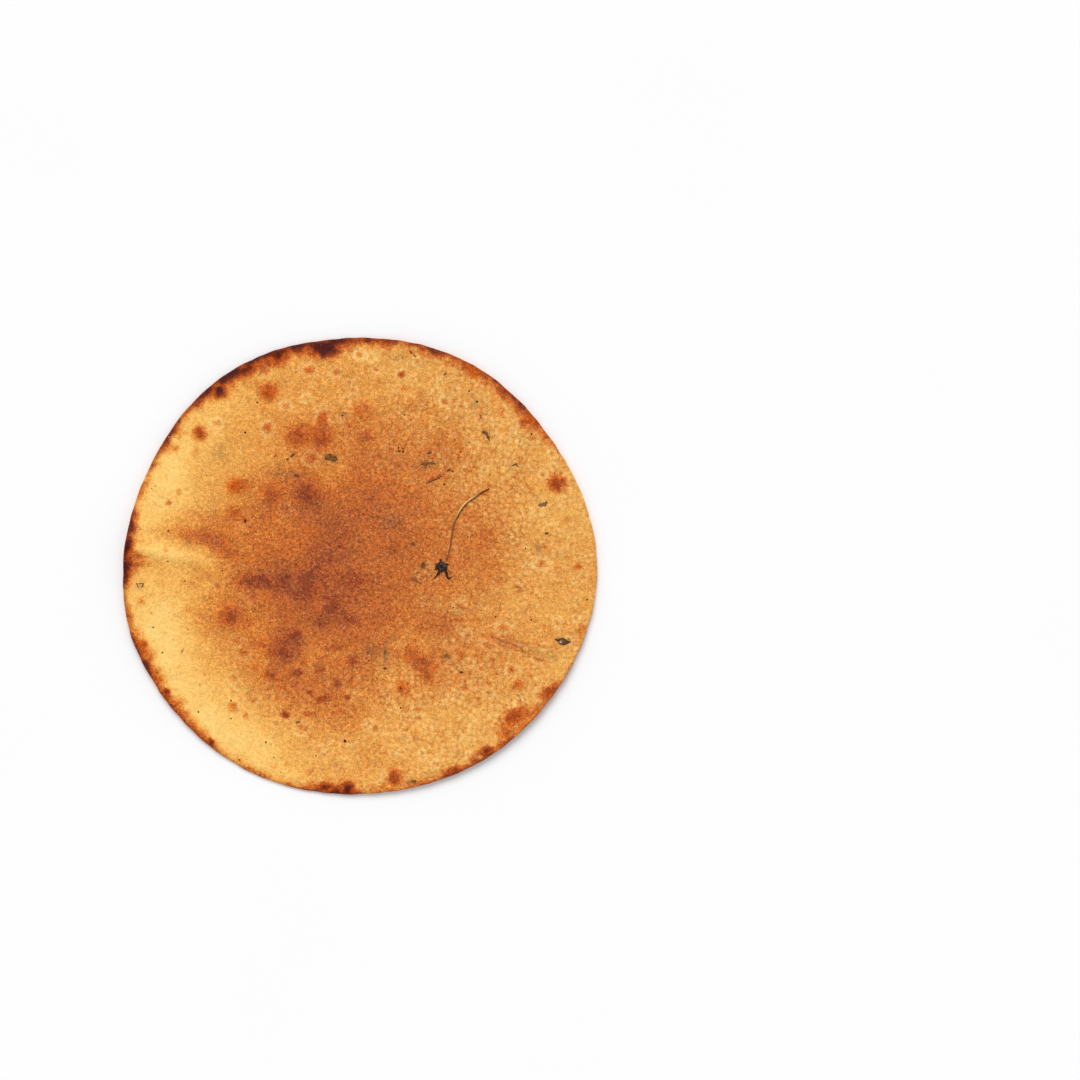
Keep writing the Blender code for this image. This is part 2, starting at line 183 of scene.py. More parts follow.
@dataclass(frozen=True)
class BreadShape:
    """The form of the bread: its outline, its warp and the relief that its solid has."""

    mean_radius: float = 88.0 * MM
    thickness: float = 1.3 * MM
    rim_rounding: float = 0.45 * MM
    outline_waves: tuple = (
        (1, 0.98 * MM, -152),
        (2, 1.20 * MM, 3),
        (3, 0.66 * MM, -14),
        (5, 0.28 * MM, -12),
        (6, 0.42 * MM, 4),
    )
    corner_direction: float = 197
    corner_width: float = 7
    corner_size: float = 0.6 * MM
    ripple: float = 0.28 * MM
    ripple_span: float = 5.0 * MM
    rest_reach: float = 0.46
    rest_swing: float = 0.06
    rest_lobes: int = 3
    lift_end: float = 1.12
    lift: float = 1.15 * MM
    lift_waves: tuple = ((2, 0.55, 165), (3, 0.50, 65), (7, 0.18, 20))
    swell: float = 0.16 * MM
    swell_span: float = 21 * MM
    pleats: tuple[Pleat, ...] = (
        Pleat((-92.0, 8.2), (-52.0, 0.0), 3.4, 1.15),
        Pleat((-84.0, 16.0), (-50.0, 5.5), 2.6, 0.35),
        Pleat((-88.0, 1.0), (-72.0, 1.5), 1.6, 0.40),
    )
    pleat_fade: float = 16 * MM
    creases: tuple = (
        ((44.0, -26.0), (60.0, -32.5)),
        ((50.0, -25.0), (66.0, -31.5)),
        ((59.0, -33.8), (75.0, -37.5)),
    )
    crease_width: float = 1.1 * MM
    crease_depth: float = 0.22 * MM
    wobble: float = 1.1 * MM
    wobble_span: float = 5.5 * MM

    def waves(self, rows: Iterable, turn: np.ndarray) -> np.ndarray:
        """Add up waves round the rim, each given as waves in a turn, size and direction."""
        return sum(size * np.cos(count * (turn - math.radians(lean))) for count, size, lean in rows)

    def outline(self, turn: np.ndarray) -> np.ndarray:
        """Radius of the hand-rolled outline at each direction."""
        off_corner = (np.degrees(turn) - self.corner_direction + 180) % 360 - 180
        corner = self.corner_size * np.exp(-((off_corner / self.corner_width) ** 2))
        steps = self.mean_radius / self.ripple_span
        rims = (Vector((math.cos(one) * steps, math.sin(one) * steps, 0.0)) for one in turn)
        ripple = self.ripple * np.array([noise.noise(rim) for rim in rims])
        return self.mean_radius + self.waves(self.outline_waves, turn) + corner + ripple

    def pleated(self, x: np.ndarray, y: np.ndarray) -> np.ndarray:
        """Height of the pleats at each place."""
        height = np.zeros_like(x)
        for pleat in self.pleats:
            aside, along, length = near_line(x, y, pleat.rim_end, pleat.inner_end)
            ridge = np.exp(-((aside / (pleat.width * MM)) ** 2))
            height += pleat.height * MM * ridge * ease((length - along) / self.pleat_fade)
        return height

    def lifted(self, reach: np.ndarray, turn: np.ndarray) -> np.ndarray:
        """Height of the underside over the table at each reach and direction."""
        start = self.rest_reach + self.rest_swing * np.sin(self.rest_lobes * turn)
        height = self.lift * (1.0 + self.waves(self.lift_waves, turn))
        return np.maximum(0.0, height) * ease((reach - start) / (self.lift_end - start))

    def swollen(self, x: np.ndarray, y: np.ndarray) -> np.ndarray:
        """Slow unevenness of the dough's thickness at each place."""
        places = zip(x / self.swell_span, y / self.swell_span)
        return self.swell * np.array([noise.noise(Vector((*place, 0.0))) for place in places])

    def domed(self, x: np.ndarray, y: np.ndarray, blisters: Iterable[Blister]) -> np.ndarray:
        """Height of blisters at each place.

        Args:
            x: Places across.
            y: Places up.
            blisters: The blisters to add up.

        Returns:
            Their height, with uneven edges.
        """
        places = zip(x / self.wobble_span, y / self.wobble_span)
        drift = np.array([noise.noise_vector(Vector((*place, 0.0))) for place in places]) * self.wobble
        x = x + drift[:, 0]
        y = y + drift[:, 1]
        height = np.zeros_like(x)
        for blister in blisters:
            share = ((x - blister.x) ** 2 + (y - blister.y) ** 2) / blister.radius ** 2
            inside = share < 1.0
            rise = (1.0 - share[inside]) ** 2 * (1.0 + blister.dip * share[inside])
            height[inside] += blister.height * rise
        return height

    def creased(self, x: np.ndarray, y: np.ndarray) -> np.ndarray:
        """Depth of the fine creases at each place."""
        depth = np.zeros_like(x)
        for start, end in self.creases:
            aside, along, length = near_line(x, y, start, end)
            depth += self.crease_depth * np.sin(np.pi * along / length) * np.exp(-((aside / self.crease_width) ** 2))
        return depth


@dataclass
class Canvas:
    """A square of values laid over the bread, on which marks are drawn with uneven edges."""

    half_width: float = 92 * MM
    spacing: float = 0.25 * MM
    unevenness: float = 0.55 * MM
    uneven_span: float = 2.6 * MM
    seed: int = 3
    values: np.ndarray = field(init=False)
    across: np.ndarray = field(init=False)
    up: np.ndarray = field(init=False)

    def __post_init__(self) -> None:
        """Lay out the canvas."""
        line = np.arange(-self.half_width, self.half_width + self.spacing, self.spacing)
        across, up = np.meshgrid(line, line)
        self.values = np.zeros_like(across)
        self.across = across + self.unevenness * self.cloud(self.seed, self.uneven_span)
        self.up = up + self.unevenness * self.cloud(self.seed + 1, self.uneven_span)

    def cloud(self, seed: int, span: float) -> np.ndarray:
        """Make smooth random values over the whole canvas.

        Args:
            seed: Seed of the draw.
            span: Width of one cloud, in metres.

        Returns:
            Values from about -1 to 1.
        """
        count = int(2 * self.half_width / span) + 4
        lattice = np.random.default_rng(seed).uniform(-1.0, 1.0, (count, count))
        place = np.arange(self.values.shape[0]) * self.spacing / span
        whole = place.astype(int)
        part = ease(place - whole)
        rows = lattice[whole] * (1 - part)[:, None] + lattice[whole + 1] * part[:, None]
        return rows[:, whole] * (1 - part) + rows[:, whole + 1] * part

    def window(self, x: float, y: float, size: float) -> tuple[slice, slice]:
        """The part of the canvas within a size of a place."""
        middle = [(place + self.half_width) / self.spacing for place in (y, x)]
        margin = size / self.spacing
        return tuple(slice(max(0, int(one - margin)), max(0, int(one + margin) + 2)) for one in middle)

    def dab(self, x: float, y: float, across: float, up: float, turn: float, strength: float,
            profile: Callable[[np.ndarray], np.ndarray]) -> None:
        """Add one oval mark.

        Args:
            x: Place across, in millimetres.
            y: Place up, in millimetres.
            across: Half width, in millimetres.
            up: Half height, in millimetres.
            turn: Turn of the oval, in degrees.
            strength: Strength of the mark.
            profile: Strength from the middle outward, by the distance as a share of the half width.
        """
        here = self.window(x * MM, y * MM, 3.0 * max(across, up) * MM)
        left = self.across[here] - x * MM
        over = self.up[here] - y * MM
        cos, sin = math.cos(math.radians(turn)), math.sin(math.radians(turn))
        share = np.hypot((left * cos + over * sin) / (across * MM), (over * cos - left * sin) / (up * MM))
        self.values[here] += strength * profile(share)

    def draw(self, stroke: Stroke) -> None:
        """Add one straight mark that fades towards its ends."""
        aside, along, length = near_line(self.across, self.up, stroke.start, stroke.end)
        ends = np.sqrt(np.clip(np.sin(np.pi * along / length), 0.0, 1.0))
        self.values += stroke.strength * ends * np.exp(-((aside / (stroke.width * MM)) ** 2))

    def at(self, x: np.ndarray, y: np.ndarray) -> np.ndarray:
        """Read the canvas between its points.

        Args:
            x: Places across.
            y: Places up.

        Returns:
            The values there.
        """
        last = self.values.shape[0] - 2
        column = np.clip((x + self.half_width) / self.spacing, 0, last)
        row = np.clip((y + self.half_width) / self.spacing, 0, last)
        left, low = column.astype(int), row.astype(int)
        right, high = column - left, row - low
        lower = self.values[low, left] * (1 - right) + self.values[low, left + 1] * right
        upper = self.values[low + 1, left] * (1 - right) + self.values[low + 1, left + 1] * right
        return lower * (1 - high) + upper * high


def soft(share: np.ndarray) -> np.ndarray:
    """A mark that fades softly."""
    return np.exp(-(share ** 2) * 1.6)


def firm(share: np.ndarray) -> np.ndarray:
    """A mark with an even middle and a short edge."""
    return ease((1.25 - share) / 0.5)


def broad(share: np.ndarray) -> np.ndarray:
    """A mark with a broad middle and a soft edge."""
    return np.exp(-(share ** 2.4) * 0.95)


def ring(share: np.ndarray) -> np.ndarray:
    """A mark that is a ring."""
    return np.exp(-(((share - 0.8) / 0.28) ** 2))


def bead(share: np.ndarray) -> np.ndarray:
    """A small round dome."""
    return np.clip(1.0 - share ** 2, 0.0, 1.0)


@dataclass(frozen=True)
class Patch:
    """An oval area of the crust, in millimetres and degrees."""

    x: float
    y: float
    across: float
    up: float
    turn: float
    strength: float


@dataclass(frozen=True)
class RimStretch:
    """How the rim is scorched in one direction: the depth of the scorch and of the orange beside it."""

    direction: float
    scorch: float
    halo: float


@dataclass(frozen=True)
class Browning:
    """Where the bread is browned, scorched and stained, read from the real one."""

    zones: tuple[Patch, ...] = (
        Patch(-12.0, 1.0, 50.0, 49.0, 0, 0.45),
        Patch(-24.0, -8.0, 24.0, 26.0, 0, 0.11),
        Patch(2.0, 16.0, 30.0, 20.0, 0, 0.04),
        Patch(-32.0, -7.0, 16.0, 5.0, -10, 0.14),
        Patch(-1.0, -6.0, 9.0, 7.0, 0, 0.06),
        Patch(-12.0, -19.0, 11.0, 7.0, -35, 0.12),
        Patch(-21.0, 27.0, 7.5, 6.5, 0, 0.07),
        Patch(-36.0, 27.0, 7.0, 5.5, 0, 0.02),
        Patch(-29.0, -31.0, 6.0, 7.0, 0, 0.27),
        Patch(-18.0, -51.0, 24.0, 15.0, -8, 0.27),
        Patch(-40.0, -37.0, 16.0, 10.0, -35, 0.12),
        Patch(-60.0, 14.0, 14.0, 7.0, 0, 0.18),
        Patch(-53.0, -21.0, 10.0, 7.0, 0, 0.16),
        Patch(40.0, -34.0, 20.0, 14.0, 0, 0.15),
        Patch(45.0, 8.0, 15.0, 26.0, 0, 0.08),
        Patch(0.0, 63.0, 30.0, 15.0, 0, 0.04),
        Patch(26.0, 46.0, 16.0, 14.0, 0, 0.11),
        Patch(-8.0, -76.0, 30.0, 10.0, -5, 0.14),
        Patch(-28.0, 10.0, 9.0, 8.0, 0, -0.12),
        Patch(-12.0, 35.0, 9.0, 6.0, 30, -0.12),
        Patch(2.0, 5.0, 7.0, 12.0, 10, -0.11),
        Patch(20.0, -28.0, 8.0, 6.0, 0, -0.13),
        Patch(-62.0, 11.0, 12.0, 3.0, -10, 0.24),
        Patch(-52.0, 5.5, 8.0, 2.6, -25, 0.20),
        Patch(-84.0, 1.0, 4.0, 2.6, 0, 0.30),
        Patch(-73.0, 4.6, 15.0, 2.6, -11, -0.18),
        Patch(-57.0, 1.0, 5.0, 3.0, 0, -0.01),
        Patch(-66.0, 50.0, 16.0, 12.0, 60, -0.07),
        Patch(-45.0, -68.0, 22.0, 9.0, -35, -0.15),
        Patch(-72.0, -35.0, 10.0, 24.0, 20, -0.17),
        Patch(-74.0, 30.0, 9.0, 14.0, -15, -0.10),
        Patch(20.0, -72.0, 26.0, 8.0, 8, -0.03),
        Patch(30.0, 45.0, 8.0, 6.0, 0, 0.04),
        Patch(4.0, 52.0, 12.0, 9.0, 0, 0.06),
        Patch(40.0, 6.0, 12.0, 16.0, 0, 0.08),
        Patch(30.0, -22.0, 9.0, 4.0, 0, 0.07),
        Patch(-41.5, -6.0, 7.6, 3.4, -4, 0.09),
        Patch(5.0, -21.0, 5.0, 4.0, 0, 0.07),
    )
    spots: tuple[Patch, ...] = (
        Patch(-35.2, 65.5, 3.0, 2.9, 0, 0.57),
        Patch(-61.0, 50.0, 2.4, 2.4, 0, 0.80),
        Patch(-53.5, 65.8, 2.3, 2.1, 0, 1.53),
        Patch(-13.5, 81.6, 4.4, 2.5, 0, 1.62),
        Patch(-31.5, 78.5, 3.2, 1.8, 20, 0.73),
        Patch(-19.8, 74.0, 1.8, 1.5, 0, 0.32),
        Patch(-9.5, 73.0, 1.3, 1.3, 0, 0.22),
        Patch(15.3, 72.0, 1.3, 1.3, 0, 0.62),
        Patch(-35.3, 52.0, 1.5, 1.8, 0, 0.29),
        Patch(-28.5, 60.5, 1.5, 1.1, 0, 0.13),
        Patch(-54.5, 53.8, 1.5, 1.2, 0, 0.16),
        Patch(-70.0, 44.0, 1.1, 1.1, 0, 0.37),
        Patch(-24.0, 49.0, 3.8, 3.0, 35, 0.45),
        Patch(-15.3, 49.4, 3.4, 4.2, 0, 0.44),
        Patch(-14.5, 55.6, 1.6, 2.6, 0, 0.42),
        Patch(0.5, 58.5, 3.2, 2.6, 0, 0.21),
        Patch(2.0, 49.0, 3.0, 1.8, 0, 0.21),
        Patch(-48.0, 30.2, 2.5, 2.5, 0, 0.52),
        Patch(-48.0, 19.9, 3.4, 2.5, 0, 0.27),
        Patch(31.7, 62.0, 1.2, 1.1, 0, 0.25),
        Patch(38.3, 60.2, 1.2, 0.8, 0, 0.19),
        Patch(74.2, 31.2, 3.1, 3.0, 0, 0.74),
        Patch(63.4, 54.6, 2.9, 1.5, 20, 0.66),
        Patch(-28.4, -56.6, 1.5, 1.1, -25, 1.05),
        Patch(42.0, 73.2, 2.8, 1.8, -38, 0.36),
        Patch(68.5, 0.5, 2.0, 1.4, 0, 0.16),
        Patch(82.3, -0.3, 1.1, 1.0, 0, 0.35),
        Patch(54.0, -23.6, 1.8, 1.3, 0, 0.17),
        Patch(48.3, -30.4, 2.0, 1.0, -15, 0.16),
        Patch(37.3, -15.3, 1.6, 1.5, 0, 0.08),
        Patch(83.3, -24.5, 1.7, 2.8, 0, 0.17),
        Patch(59.5, -45.0, 2.1, 1.9, 0, 0.37),
        Patch(57.3, -39.6, 1.7, 1.6, 0, 0.13),
        Patch(45.6, -39.0, 0.9, 0.9, 0, 0.16),
        Patch(71.5, -47.5, 3.4, 1.8, 30, 0.74),
        Patch(58.8, -56.6, 4.2, 2.4, 15, 0.58),
        Patch(55.8, -60.2, 3.9, 2.9, 40, 0.35),
        Patch(52.8, -64.2, 2.2, 2.4, 50, 0.15),
        Patch(47.8, -70.2, 2.2, 1.5, 15, 1.05),
        Patch(12.7, -80.2, 2.3, 2.8, -20, 0.75),
        Patch(5.4, -61.7, 1.1, 1.5, 0, 0.15),
        Patch(19.2, -33.4, 2.8, 3.4, 30, 0.21),
        Patch(23.2, -37.2, 3.6, 4.0, 35, 0.21),
        Patch(25.2, -42.2, 2.1, 2.8, 30, 0.25),
        Patch(16.0, -46.5, 2.3, 2.3, 0, 0.40),
        Patch(16.3, -54.6, 2.0, 1.0, 0, 0.06),
        Patch(21.8, -54.4, 1.3, 1.2, 0, 0.12),
        Patch(-49.0, -18.2, 3.7, 3.0, 0, 0.31),
        Patch(-50.6, -21.0, 3.4, 1.8, 0, 0.18),
        Patch(-41.0, -12.0, 1.8, 1.6, 0, 0.20),
        Patch(-24.0, -40.7, 1.9, 1.4, 0, 0.38),
        Patch(-34.4, -41.4, 2.2, 1.7, -20, 0.40),
        Patch(-24.2, -26.3, 2.8, 1.9, -50, 0.19),
        Patch(-9.0, -44.8, 1.6, 1.4, 0, 0.46),
        Patch(-9.5, -31.0, 2.8, 1.4, -10, 0.14),
        Patch(-14.9, -50.7, 2.6, 1.6, 20, 0.37),
        Patch(-19.0, -48.0, 1.3, 1.0, 0, 0.25),
        Patch(-5.0, -50.0, 1.2, 1.1, 0, 0.46),
        Patch(-48.6, -53.6, 1.8, 1.8, 0, 0.31),
        Patch(-43.6, -57.0, 1.2, 0.9, 0, 0.34),
        Patch(-31.8, -59.8, 1.2, 0.9, 0, 0.11),
        Patch(-22.3, -61.8, 1.9, 1.7, 0, 0.13),
        Patch(-19.5, -78.4, 1.5, 1.4, 0, 0.15),
        Patch(-83.0, -13.4, 1.5, 1.4, 0, 0.19),
        Patch(-72.6, 23.8, 1.2, 1.0, 0, 0.44),
        Patch(-82.3, -30.0, 1.2, 1.4, 0, 0.70),
        Patch(-73.5, -48.0, 1.0, 1.2, 0, 1.00),
        Patch(-56.8, -66.8, 1.6, 1.2, -40, 1.00),
        Patch(-5.0, -84.3, 2.1, 1.9, 0, 1.20),
        Patch(-13.4, -84.0, 2.6, 1.5, 0, 1.10),
        Patch(49.0, 30.0, 2.2, 0.9, 15, 0.09),
        Patch(-0.5, 79.4, 1.4, 1.2, 0, 0.11),
        Patch(4.0, 78.8, 1.1, 1.1, 0, 0.04),
        Patch(5.8, 74.0, 0.9, 0.9, 0, 0.19),
        Patch(-20.7, 63.4, 1.1, 1.1, 0, 0.01),
        Patch(26.0, 76.4, 1.4, 1.6, 0, 0.00),
        Patch(35.8, 66.2, 0.9, 0.9, 0, 0.11),
        Patch(31.4, -49.5, 1.1, 1.1, 0, 0.03),
        Patch(36.6, -49.5, 1.2, 1.2, 0, 0.03),
        Patch(48.8, -48.5, 1.2, 1.2, 0, 0.05),
        Patch(31.1, -72.0, 1.3, 1.2, 0, 0.02),
        Patch(33.6, -29.6, 1.4, 1.2, 0, 0.01),
        Patch(40.6, -36.9, 1.3, 1.2, 0, 0.01),
        Patch(36.0, -77.4, 2.4, 1.4, 15, 0.77),
        Patch(78.3, 17.0, 1.6, 1.3, 0, 0.15),
        Patch(47.2, 11.7, 2.6, 2.2, 0, 0.10),
        Patch(-40.6, -6.3, 6.0, 2.7, -3, 0.11),
        Patch(-71.0, -15.2, 1.8, 1.2, 0, 0.07),
        Patch(-82.8, -13.6, 1.3, 1.3, 0, 0.09),
        Patch(-20.6, -55.8, 1.3, 1.1, 0, 0.24),
        Patch(10.2, -57.4, 0.8, 0.7, 0, 0.11),
        Patch(-26.0, -38.6, 0.9, 0.9, 0, 0.02),
        Patch(-3.2, -36.2, 2.0, 1.8, 0, 0.36),
        Patch(-15.6, -39.5, 1.9, 1.7, 0, 0.17),
        Patch(-3.6, -44.8, 2.0, 1.6, 0, 0.13),
        Patch(-88.0, 6.8, 1.7, 3.4, 0, 0.62),
        Patch(-42.6, 74.2, 3.2, 1.7, 30, 0.95),
        Patch(-19.6, -4.6, 2.2, 1.5, 0, 0.15),
        Patch(-23.2, -31.6, 1.2, 2.4, 0, 0.12),
        Patch(27.3, -22.7, 5.4, 3.4, 0, 0.09),
        Patch(-1.5, -5.2, 4.2, 2.4, -15, 0.12),
        Patch(-20.5, -4.8, 3.4, 1.9, 25, 0.10),
        Patch(-11.2, -16.0, 3.2, 2.2, 30, 0.11),
        Patch(-4.0, -20.4, 3.6, 1.8, 0, 0.07),
        Patch(-29.8, -33.7, 3.4, 2.4, -20, 0.12),
        Patch(-14.4, -22.6, 2.1, 1.6, 0, 0.13),
        Patch(-39.9, -38.5, 2.2, 1.6, 20, 0.11),
        Patch(-33.5, -38.0, 1.9, 1.5, 0, 0.11),
        Patch(-25.1, -45.4, 1.4, 1.3, 0, 0.15),
        Patch(-18.4, -56.2, 2.1, 1.0, 0, 0.14),
        Patch(-48.6, -43.0, 1.4, 1.3, 0, 0.11),
        Patch(-48.6, -47.4, 1.3, 1.2, 0, 0.07),
        Patch(-41.2, -50.8, 1.9, 1.3, 0, 0.10),
        Patch(-31.7, -50.8, 1.6, 1.4, 0, 0.11),
        Patch(-44.7, -32.7, 1.9, 1.7, 0, 0.13),
        Patch(-47.0, -29.0, 1.5, 1.4, 0, 0.11),
        Patch(-37.8, -29.8, 2.7, 2.2, 0, 0.11),
        Patch(-35.5, -33.3, 2.2, 1.6, 0, 0.09),
        Patch(-34.9, -46.6, 1.4, 1.1, 0, 0.09),
        Patch(-44.2, 30.4, 2.4, 2.0, 0, 0.20),
        Patch(-33.8, 26.6, 3.6, 3.9, 0, 0.20),
        Patch(-20.9, 28.0, 4.6, 4.8, 0, 0.21),
        Patch(-44.0, 17.6, 1.3, 1.9, 0, 0.14),
        Patch(-28.5, 21.4, 1.5, 1.4, 0, 0.14),
        Patch(-19.0, 40.6, 2.0, 1.8, 0, 0.12),
        Patch(43.3, -44.9, 1.1, 1.0, 0, 0.08),
        Patch(-88.6, -2.0, 1.0, 3.4, 0, 0.40),
        Patch(-76.6, -40.6, 1.6, 1.6, 0, 0.05),
    )
    rim: tuple[RimStretch, ...] = (
        RimStretch(-180, 1.9, 4.0),
        RimStretch(-173, 0.4, 2.0),
        RimStretch(-166, 0.4, 2.4),
        RimStretch(-156, 1.2, 3.8),
        RimStretch(-149, 0.6, 2.7),
        RimStretch(-143, 0.8, 3.3),
        RimStretch(-132, 0.8, 2.8),
        RimStretch(-126, 0.3, 1.6),
        RimStretch(-120, 0.6, 2.0),
        RimStretch(-111, 0.2, 1.8),
        RimStretch(-102, 0.9, 2.6),
        RimStretch(-96, 1.4, 3.6),
        RimStretch(-90, 0.7, 2.2),
        RimStretch(-84, 0.3, 1.4),
        RimStretch(-78, 0.2, 1.8),
        RimStretch(-72, 0.5, 1.9),
        RimStretch(-66, 0.9, 2.4),
        RimStretch(-54, 0.6, 2.6),
        RimStretch(-46, 0.1, 2.0),
        RimStretch(-36, 0.2, 2.2),
        RimStretch(-28, 0.1, 1.2),
        RimStretch(-18, 0.0, 0.3),
        RimStretch(10, 0.0, 0.4),
        RimStretch(24, 0.0, 0.9),
        RimStretch(33, 0.2, 1.8),
        RimStretch(42, 0.8, 2.7),
        RimStretch(50, 1.0, 2.7),
        RimStretch(60, 0.5, 3.0),
        RimStretch(66, 0.7, 2.6),
        RimStretch(72, 1.3, 2.9),
        RimStretch(80, 0.7, 2.5),
        RimStretch(90, 1.2, 2.9),
        RimStretch(96, 1.4, 3.8),
        RimStretch(103, 1.9, 4.1),
        RimStretch(108, 1.7, 3.0),
        RimStretch(114, 2.1, 4.6),
        RimStretch(120, 2.3, 4.2),
        RimStretch(127, 2.0, 4.3),
        RimStretch(133, 1.2, 3.6),
        RimStretch(139, 0.8, 2.0),
        RimStretch(147, 1.1, 2.7),
        RimStretch(157, 0.4, 1.9),
        RimStretch(164, 0.4, 2.0),
        RimStretch(170, 1.2, 3.0),
        RimStretch(175, 1.9, 3.4),
    )
    stains: tuple[Patch, ...] = (
        Patch(-53.6, 42.8, 2.6, 4.6, 15, 0.48),
        Patch(-42.0, 26.0, 2.2, 1.4, 0, 0.24),
        Patch(-29.0, 34.5, 4.4, 1.8, -10, 0.55),
        Patch(-31.0, 39.0, 4.0, 3.0, 0, 0.22),
        Patch(-65.3, 8.2, 0.9, 2.6, 8, 0.60),
        Patch(-11.3, 40.7, 2.9, 2.1, 0, 0.95),
        Patch(-25.3, 41.8, 1.6, 2.0, 0, 0.50),
        Patch(25.5, 38.4, 4.0, 1.5, 0, 0.75),
        Patch(48.0, 49.4, 2.2, 3.0, 25, 0.70),
        Patch(42.6, 60.8, 2.4, 1.3, 20, 0.62),
        Patch(16.5, 78.5, 3.6, 2.4, -30, 0.30),
        Patch(22.0, 76.0, 2.4, 2.0, 0, 0.22),
        Patch(57.5, 37.8, 3.4, 1.4, 15, 0.40),
        Patch(68.6, 23.0, 2.4, 1.6, 0, 0.55),
        Patch(67.2, 6.1, 1.2, 2.6, 18, 0.90),
        Patch(12.6, 17.0, 3.0, 2.4, 20, 0.60),
        Patch(8.6, 15.8, 2.2, 2.0, 0, 0.30),
        Patch(19.3, 8.4, 2.4, 1.2, -20, 0.50),
        Patch(23.6, 0.0, 1.4, 2.0, 0, 0.85),
        Patch(20.8, -5.8, 3.6, 1.6, -30, 0.62),
        Patch(12.6, -27.4, 2.4, 2.0, 0, 0.34),
        Patch(4.0, -32.4, 3.0, 3.2, 0, 0.70),
        Patch(9.0, -33.6, 1.5, 4.8, -3, 0.95),
        Patch(32.2, -34.6, 1.6, 2.6, 20, 0.70),
        Patch(37.2, -38.8, 1.4, 2.0, 20, 0.55),
        Patch(36.6, -71.0, 2.2, 2.6, 0, 0.28),
        Patch(19.6, -82.0, 2.2, 1.4, 0, 0.55),
        Patch(76.6, -28.8, 3.6, 2.0, -5, 0.60),
        Patch(-83.4, -8.0, 2.0, 1.6, 0, 0.62),
        Patch(-67.8, -32.6, 1.0, 1.6, -25, 0.55),
        Patch(-76.0, 25.8, 2.6, 0.8, -25, 0.35),
        Patch(-6.4, 57.0, 1.9, 1.7, 0, 0.85),
        Patch(31.8, 72.4, 1.6, 1.3, 0, 0.30),
        Patch(46.8, 57.6, 2.0, 1.0, 15, 0.45),
        Patch(74.4, 9.8, 1.0, 0.9, 0, 0.30),
        Patch(57.0, 9.0, 4.0, 9.0, 15, 0.14),
        Patch(-19.6, -4.6, 2.4, 1.8, 0, 0.45),
        Patch(-24.4, 34.3, 2.3, 1.4, 0, 0.60),
    )
    lines: tuple[Stroke, ...] = (
        Stroke((44.0, -26.0), (60.0, -32.5), 0.40, 0.17),
        Stroke((47.0, -25.6), (57.0, -29.0), 0.35, 0.15),
        Stroke((50.0, -25.0), (66.0, -31.5), 0.35, 0.13),
        Stroke((50.0, -29.6), (63.0, -33.4), 0.30, 0.12),
        Stroke((59.0, -33.8), (75.0, -37.5), 0.35, 0.16),
        Stroke((62.0, -32.8), (72.0, -35.2), 0.30, 0.12),
        Stroke((24.6, 31.2), (32.4, 34.4), 0.45, 0.42),
        Stroke((38.8, 36.2), (43.4, 35.2), 0.35, 0.30),
        Stroke((15.5, 44.5), (21.4, 50.8), 0.30, 0.22),
        Stroke((51.0, 40.0), (52.8, 35.0), 0.40, 0.14),
        Stroke((44.8, 57.6), (46.2, 54.0), 0.35, 0.30),
        Stroke((18.6, 81.4), (20.8, 78.8), 0.35, 0.38),
        Stroke((34.9, 12.5), (32.9, 1.4), 0.42, 0.20),
        Stroke((-86.0, 9.6), (-79.0, 8.6), 0.45, 0.16),
        Stroke((-86.0, 3.6), (-80.0, 3.4), 0.50, 0.18),
        Stroke((-87.0, -0.4), (-80.0, 0.2), 0.50, 0.14),
        Stroke((-85.0, 7.9), (-66.0, 6.3), 0.30, 0.10),
        Stroke((-72.0, 2.4), (-60.0, 3.4), 0.40, 0.08),
        Stroke((48.0, -26.4), (57.0, -29.4), 0.35, 0.32),
        Stroke((57.0, -29.6), (64.8, -34.2), 0.32, 0.44),
        Stroke((64.8, -34.2), (70.5, -37.0), 0.32, 0.44),
        Stroke((59.0, -28.8), (78.0, -32.6), 0.30, 0.26),
    )
    crease_band: Stroke = Stroke((53.0, -28.4), (77.0, -36.4), 1.6, 0.30)
    # Raised wrinkles, each drawn with a painted highlight on it and a painted shadow beside it.
    wrinkles: tuple[Stroke, ...] = (
        Stroke((60.4, 22.0), (61.4, 17.4), 0.30, 0.8),
        Stroke((61.4, 17.6), (61.0, 13.0), 0.32, 1.0),
        Stroke((61.0, 13.2), (63.0, 10.6), 0.28, 0.8),
        Stroke((57.2, 14.6), (60.2, 11.2), 0.26, 0.7),
        Stroke((65.6, 16.0), (72.6, 20.8), 0.55, 0.5),
        Stroke((55.0, 13.0), (57.6, 11.4), 0.24, 0.6),
        Stroke((59.0, -6.4), (61.4, -8.0), 0.60, 1.0),
        Stroke((61.2, -7.6), (59.6, -9.8), 0.45, 0.8),
        Stroke((64.4, -7.4), (66.2, -9.0), 0.28, 0.9),
        Stroke((66.2, -9.0), (64.8, -10.8), 0.26, 0.7),
        Stroke((60.0, -48.4), (61.8, -52.0), 0.35, 0.8),
        Stroke((54.6, -55.0), (61.4, -52.6), 0.30, 0.7),
        Stroke((51.0, -60.4), (53.8, -55.6), 0.30, 0.7),
        Stroke((0.4, -3.2), (5.0, -2.6), 0.24, 0.5),
        Stroke((-15.6, -4.8), (-11.8, -3.4), 0.24, 0.5),
        Stroke((-10.4, -11.8), (-7.0, -11.2), 0.24, 0.5),
    )


